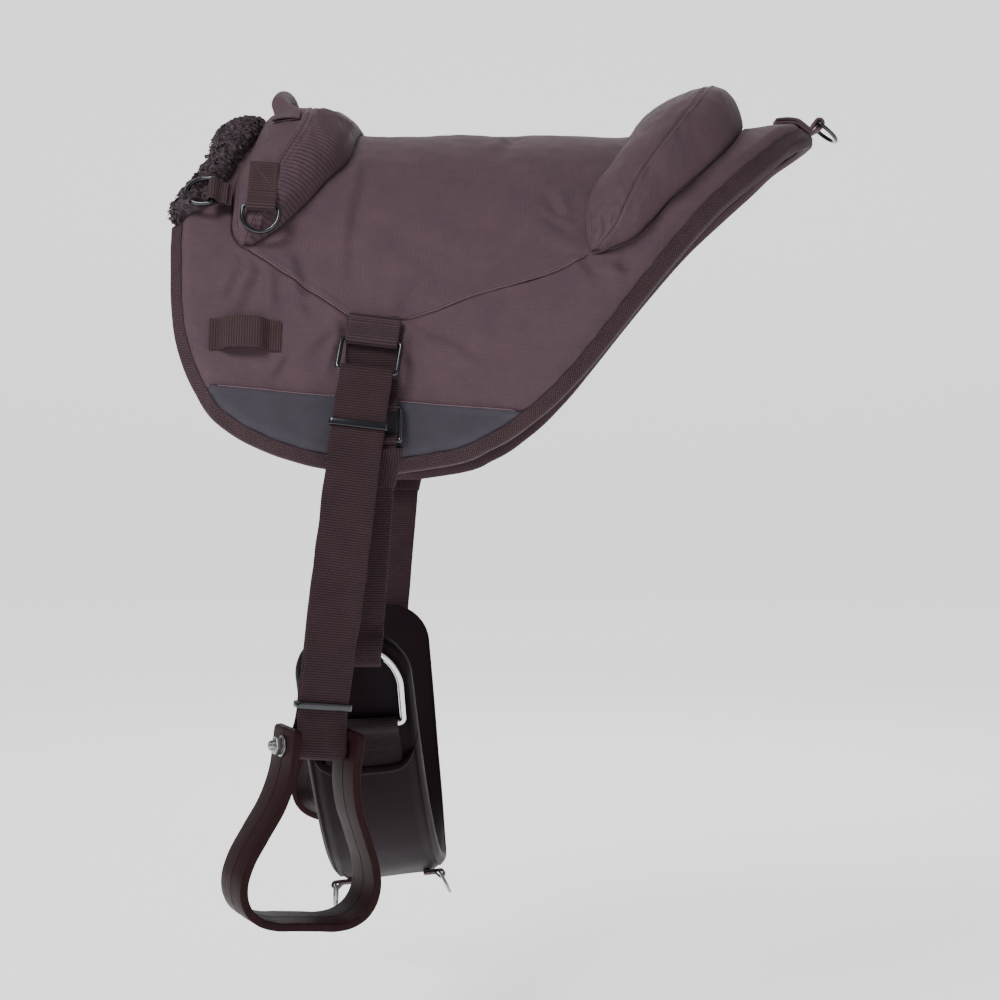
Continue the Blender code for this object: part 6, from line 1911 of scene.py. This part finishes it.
for side_name, side in sides:
    top_bar = on_barrel(hanger_x, side * cinch_low_bar_arc, cinch_low_bar_lift)
    ring_top = on_barrel(girth_ring_x, side * cinch_ring_top_arc, cinch_ring_top_lift)

    def bar_place(across, along, out, side=side):
        return girth_place(across, side * (bar_sigma - np.asarray(along)), girth_bar_lift + np.asarray(out))

    ring_bar, across = bar_frame(bar_place, girth_webbing_width / 2)
    ring_down = square_to(ring_bar - ring_top, across)
    points = ring_outline(cinch_half_width, float((ring_bar - ring_top) @ ring_down), 0.0045, True)
    wire_ring(
        f"{side_name}_cinch_d_ring", "girth", ring_bar, across, -ring_down, points, cinch_wire, polished,
        flatten=0.72,
    )
    latigo_down = unit(ring_top - top_bar)
    fold = ring_top + latigo_down * latigo_fold_depth
    latigo_out = square_to(square_to(np.array((0.0, side, 0.0)), latigo_across), latigo_down)
    length = float(np.linalg.norm(fold - top_bar))
    wide = length - latigo_fold_depth - cinch_wire - web_gap * 2
    narrow = wide - latigo_widening
    front = [(along, half_gap) for along in np.linspace(seam, narrow, 8)]
    front += [
        (narrow + latigo_widening * share, half_gap + (low_bend - half_gap) * float(ease(share)))
        for share in (0.33, 0.67, 1.0)
    ]
    lower = [(along, -out) for along, out in reversed(front)]
    upper = [
        (latigo_widening * share, top_bend + (half_gap - top_bend) * float(ease(share)))
        for share in (0.33, 0.67)
    ]
    upper += [(latigo_widening, half_gap), (seam - 0.002, half_gap)]
    upper_back = [(along, -out) for along, out in reversed(upper)]
    around = front + bar_turn(length, 0.0, low_bend)[::-1] + lower + upper_back
    around += [(-along, -out) for along, out in bar_turn(0.0, 0.0, top_bend)] + upper
    place = frame_place(top_bar, latigo_across, latigo_down, latigo_out)
    ribbon(f"{side_name}_latigo", "pad", around, latigo_width, strap_webbing, place, strap_web, seed=70)
    knot_path = []
    for angle in np.linspace(-0.15, 2 * math.pi + 0.25, 61):
        side_way = math.copysign(abs(math.cos(angle)) ** 0.35, math.cos(angle))
        out_way = math.copysign(abs(math.sin(angle)) ** 0.8, math.sin(angle))
        climb = 0.0011 * (angle / math.pi - 1)
        knot_path.append((knot_reach * side_way, (half_gap + 0.0052 + climb) * out_way))

    def knot_place(across_way, along, out, place=place):
        """The knot's turn is wider at its upper rim, where it is pulled towards the loop."""
        across_way, along, out = np.broadcast_arrays(across_way, along, out)
        flare = 1 + 0.10 * np.clip(-across_way / (knot_height / 2), -1, 1)
        return place(along * flare, knot_start + knot_height / 2 + across_way, out * (1 + 0.4 * (flare - 1)))

    ribbon(
        f"{side_name}_latigo_knot", "pad", knot_path, knot_height, strap_webbing, knot_place, strap_web,
        seed=80,
    )

# Belly rings: two small D-rings of plain steel wire under the belly, on webbing tabs sewn to the
# front and rear edges of the girth's cover. They hang by their own weight.
belly_wire = 0.0013
belly_bend = belly_wire + web_gap + tab_webbing / 2 + slope_room
belly_ring = ring_outline(0.0100, 0.0190, 0.0015, True)
belly_reach = cover_half_width - 2 * web_gap
belly_sigma = -0.050
belly_bar_lift = cover_middle_height + 3 * web_gap + tab_webbing / 2 + belly_bend - 0.0009
belly_path = loop_path(0.016, belly_bend, tab_spacing, 0.006, 0.016 - web_gap)
for ring_name, way, lean in (("front", -1, 0.0), ("rear", 1, math.radians(27))):
    end_reaches = np.array((way * belly_reach, way * belly_reach))
    ends = girth_place(end_reaches, np.array((belly_sigma, belly_sigma + web_gap)), 0.0)
    belly_across = unit(ends[1] - ends[0])

    def belly_place(across, along, out, way=way, belly_across=belly_across):
        across, along, out = np.broadcast_arrays(across, along, out)
        sigma = np.full(along.shape, belly_sigma)
        here = girth_place(way * (belly_reach + along), sigma, belly_bar_lift + out)
        return here + across[..., None] * belly_across

    ribbon(f"{ring_name}_belly_ring_tab", "girth", belly_path, 0.0160, tab_webbing, belly_place, tab_web)
    centre, across = bar_frame(belly_place, 0.008)
    down = square_to(np.array((way * math.sin(lean), 0, -math.cos(lean))), across)
    wire_ring(
        f"{ring_name}_belly_d_ring", f"{ring_name}_belly_ring", centre, across, down, belly_ring, belly_wire,
        plain_steel,
    )
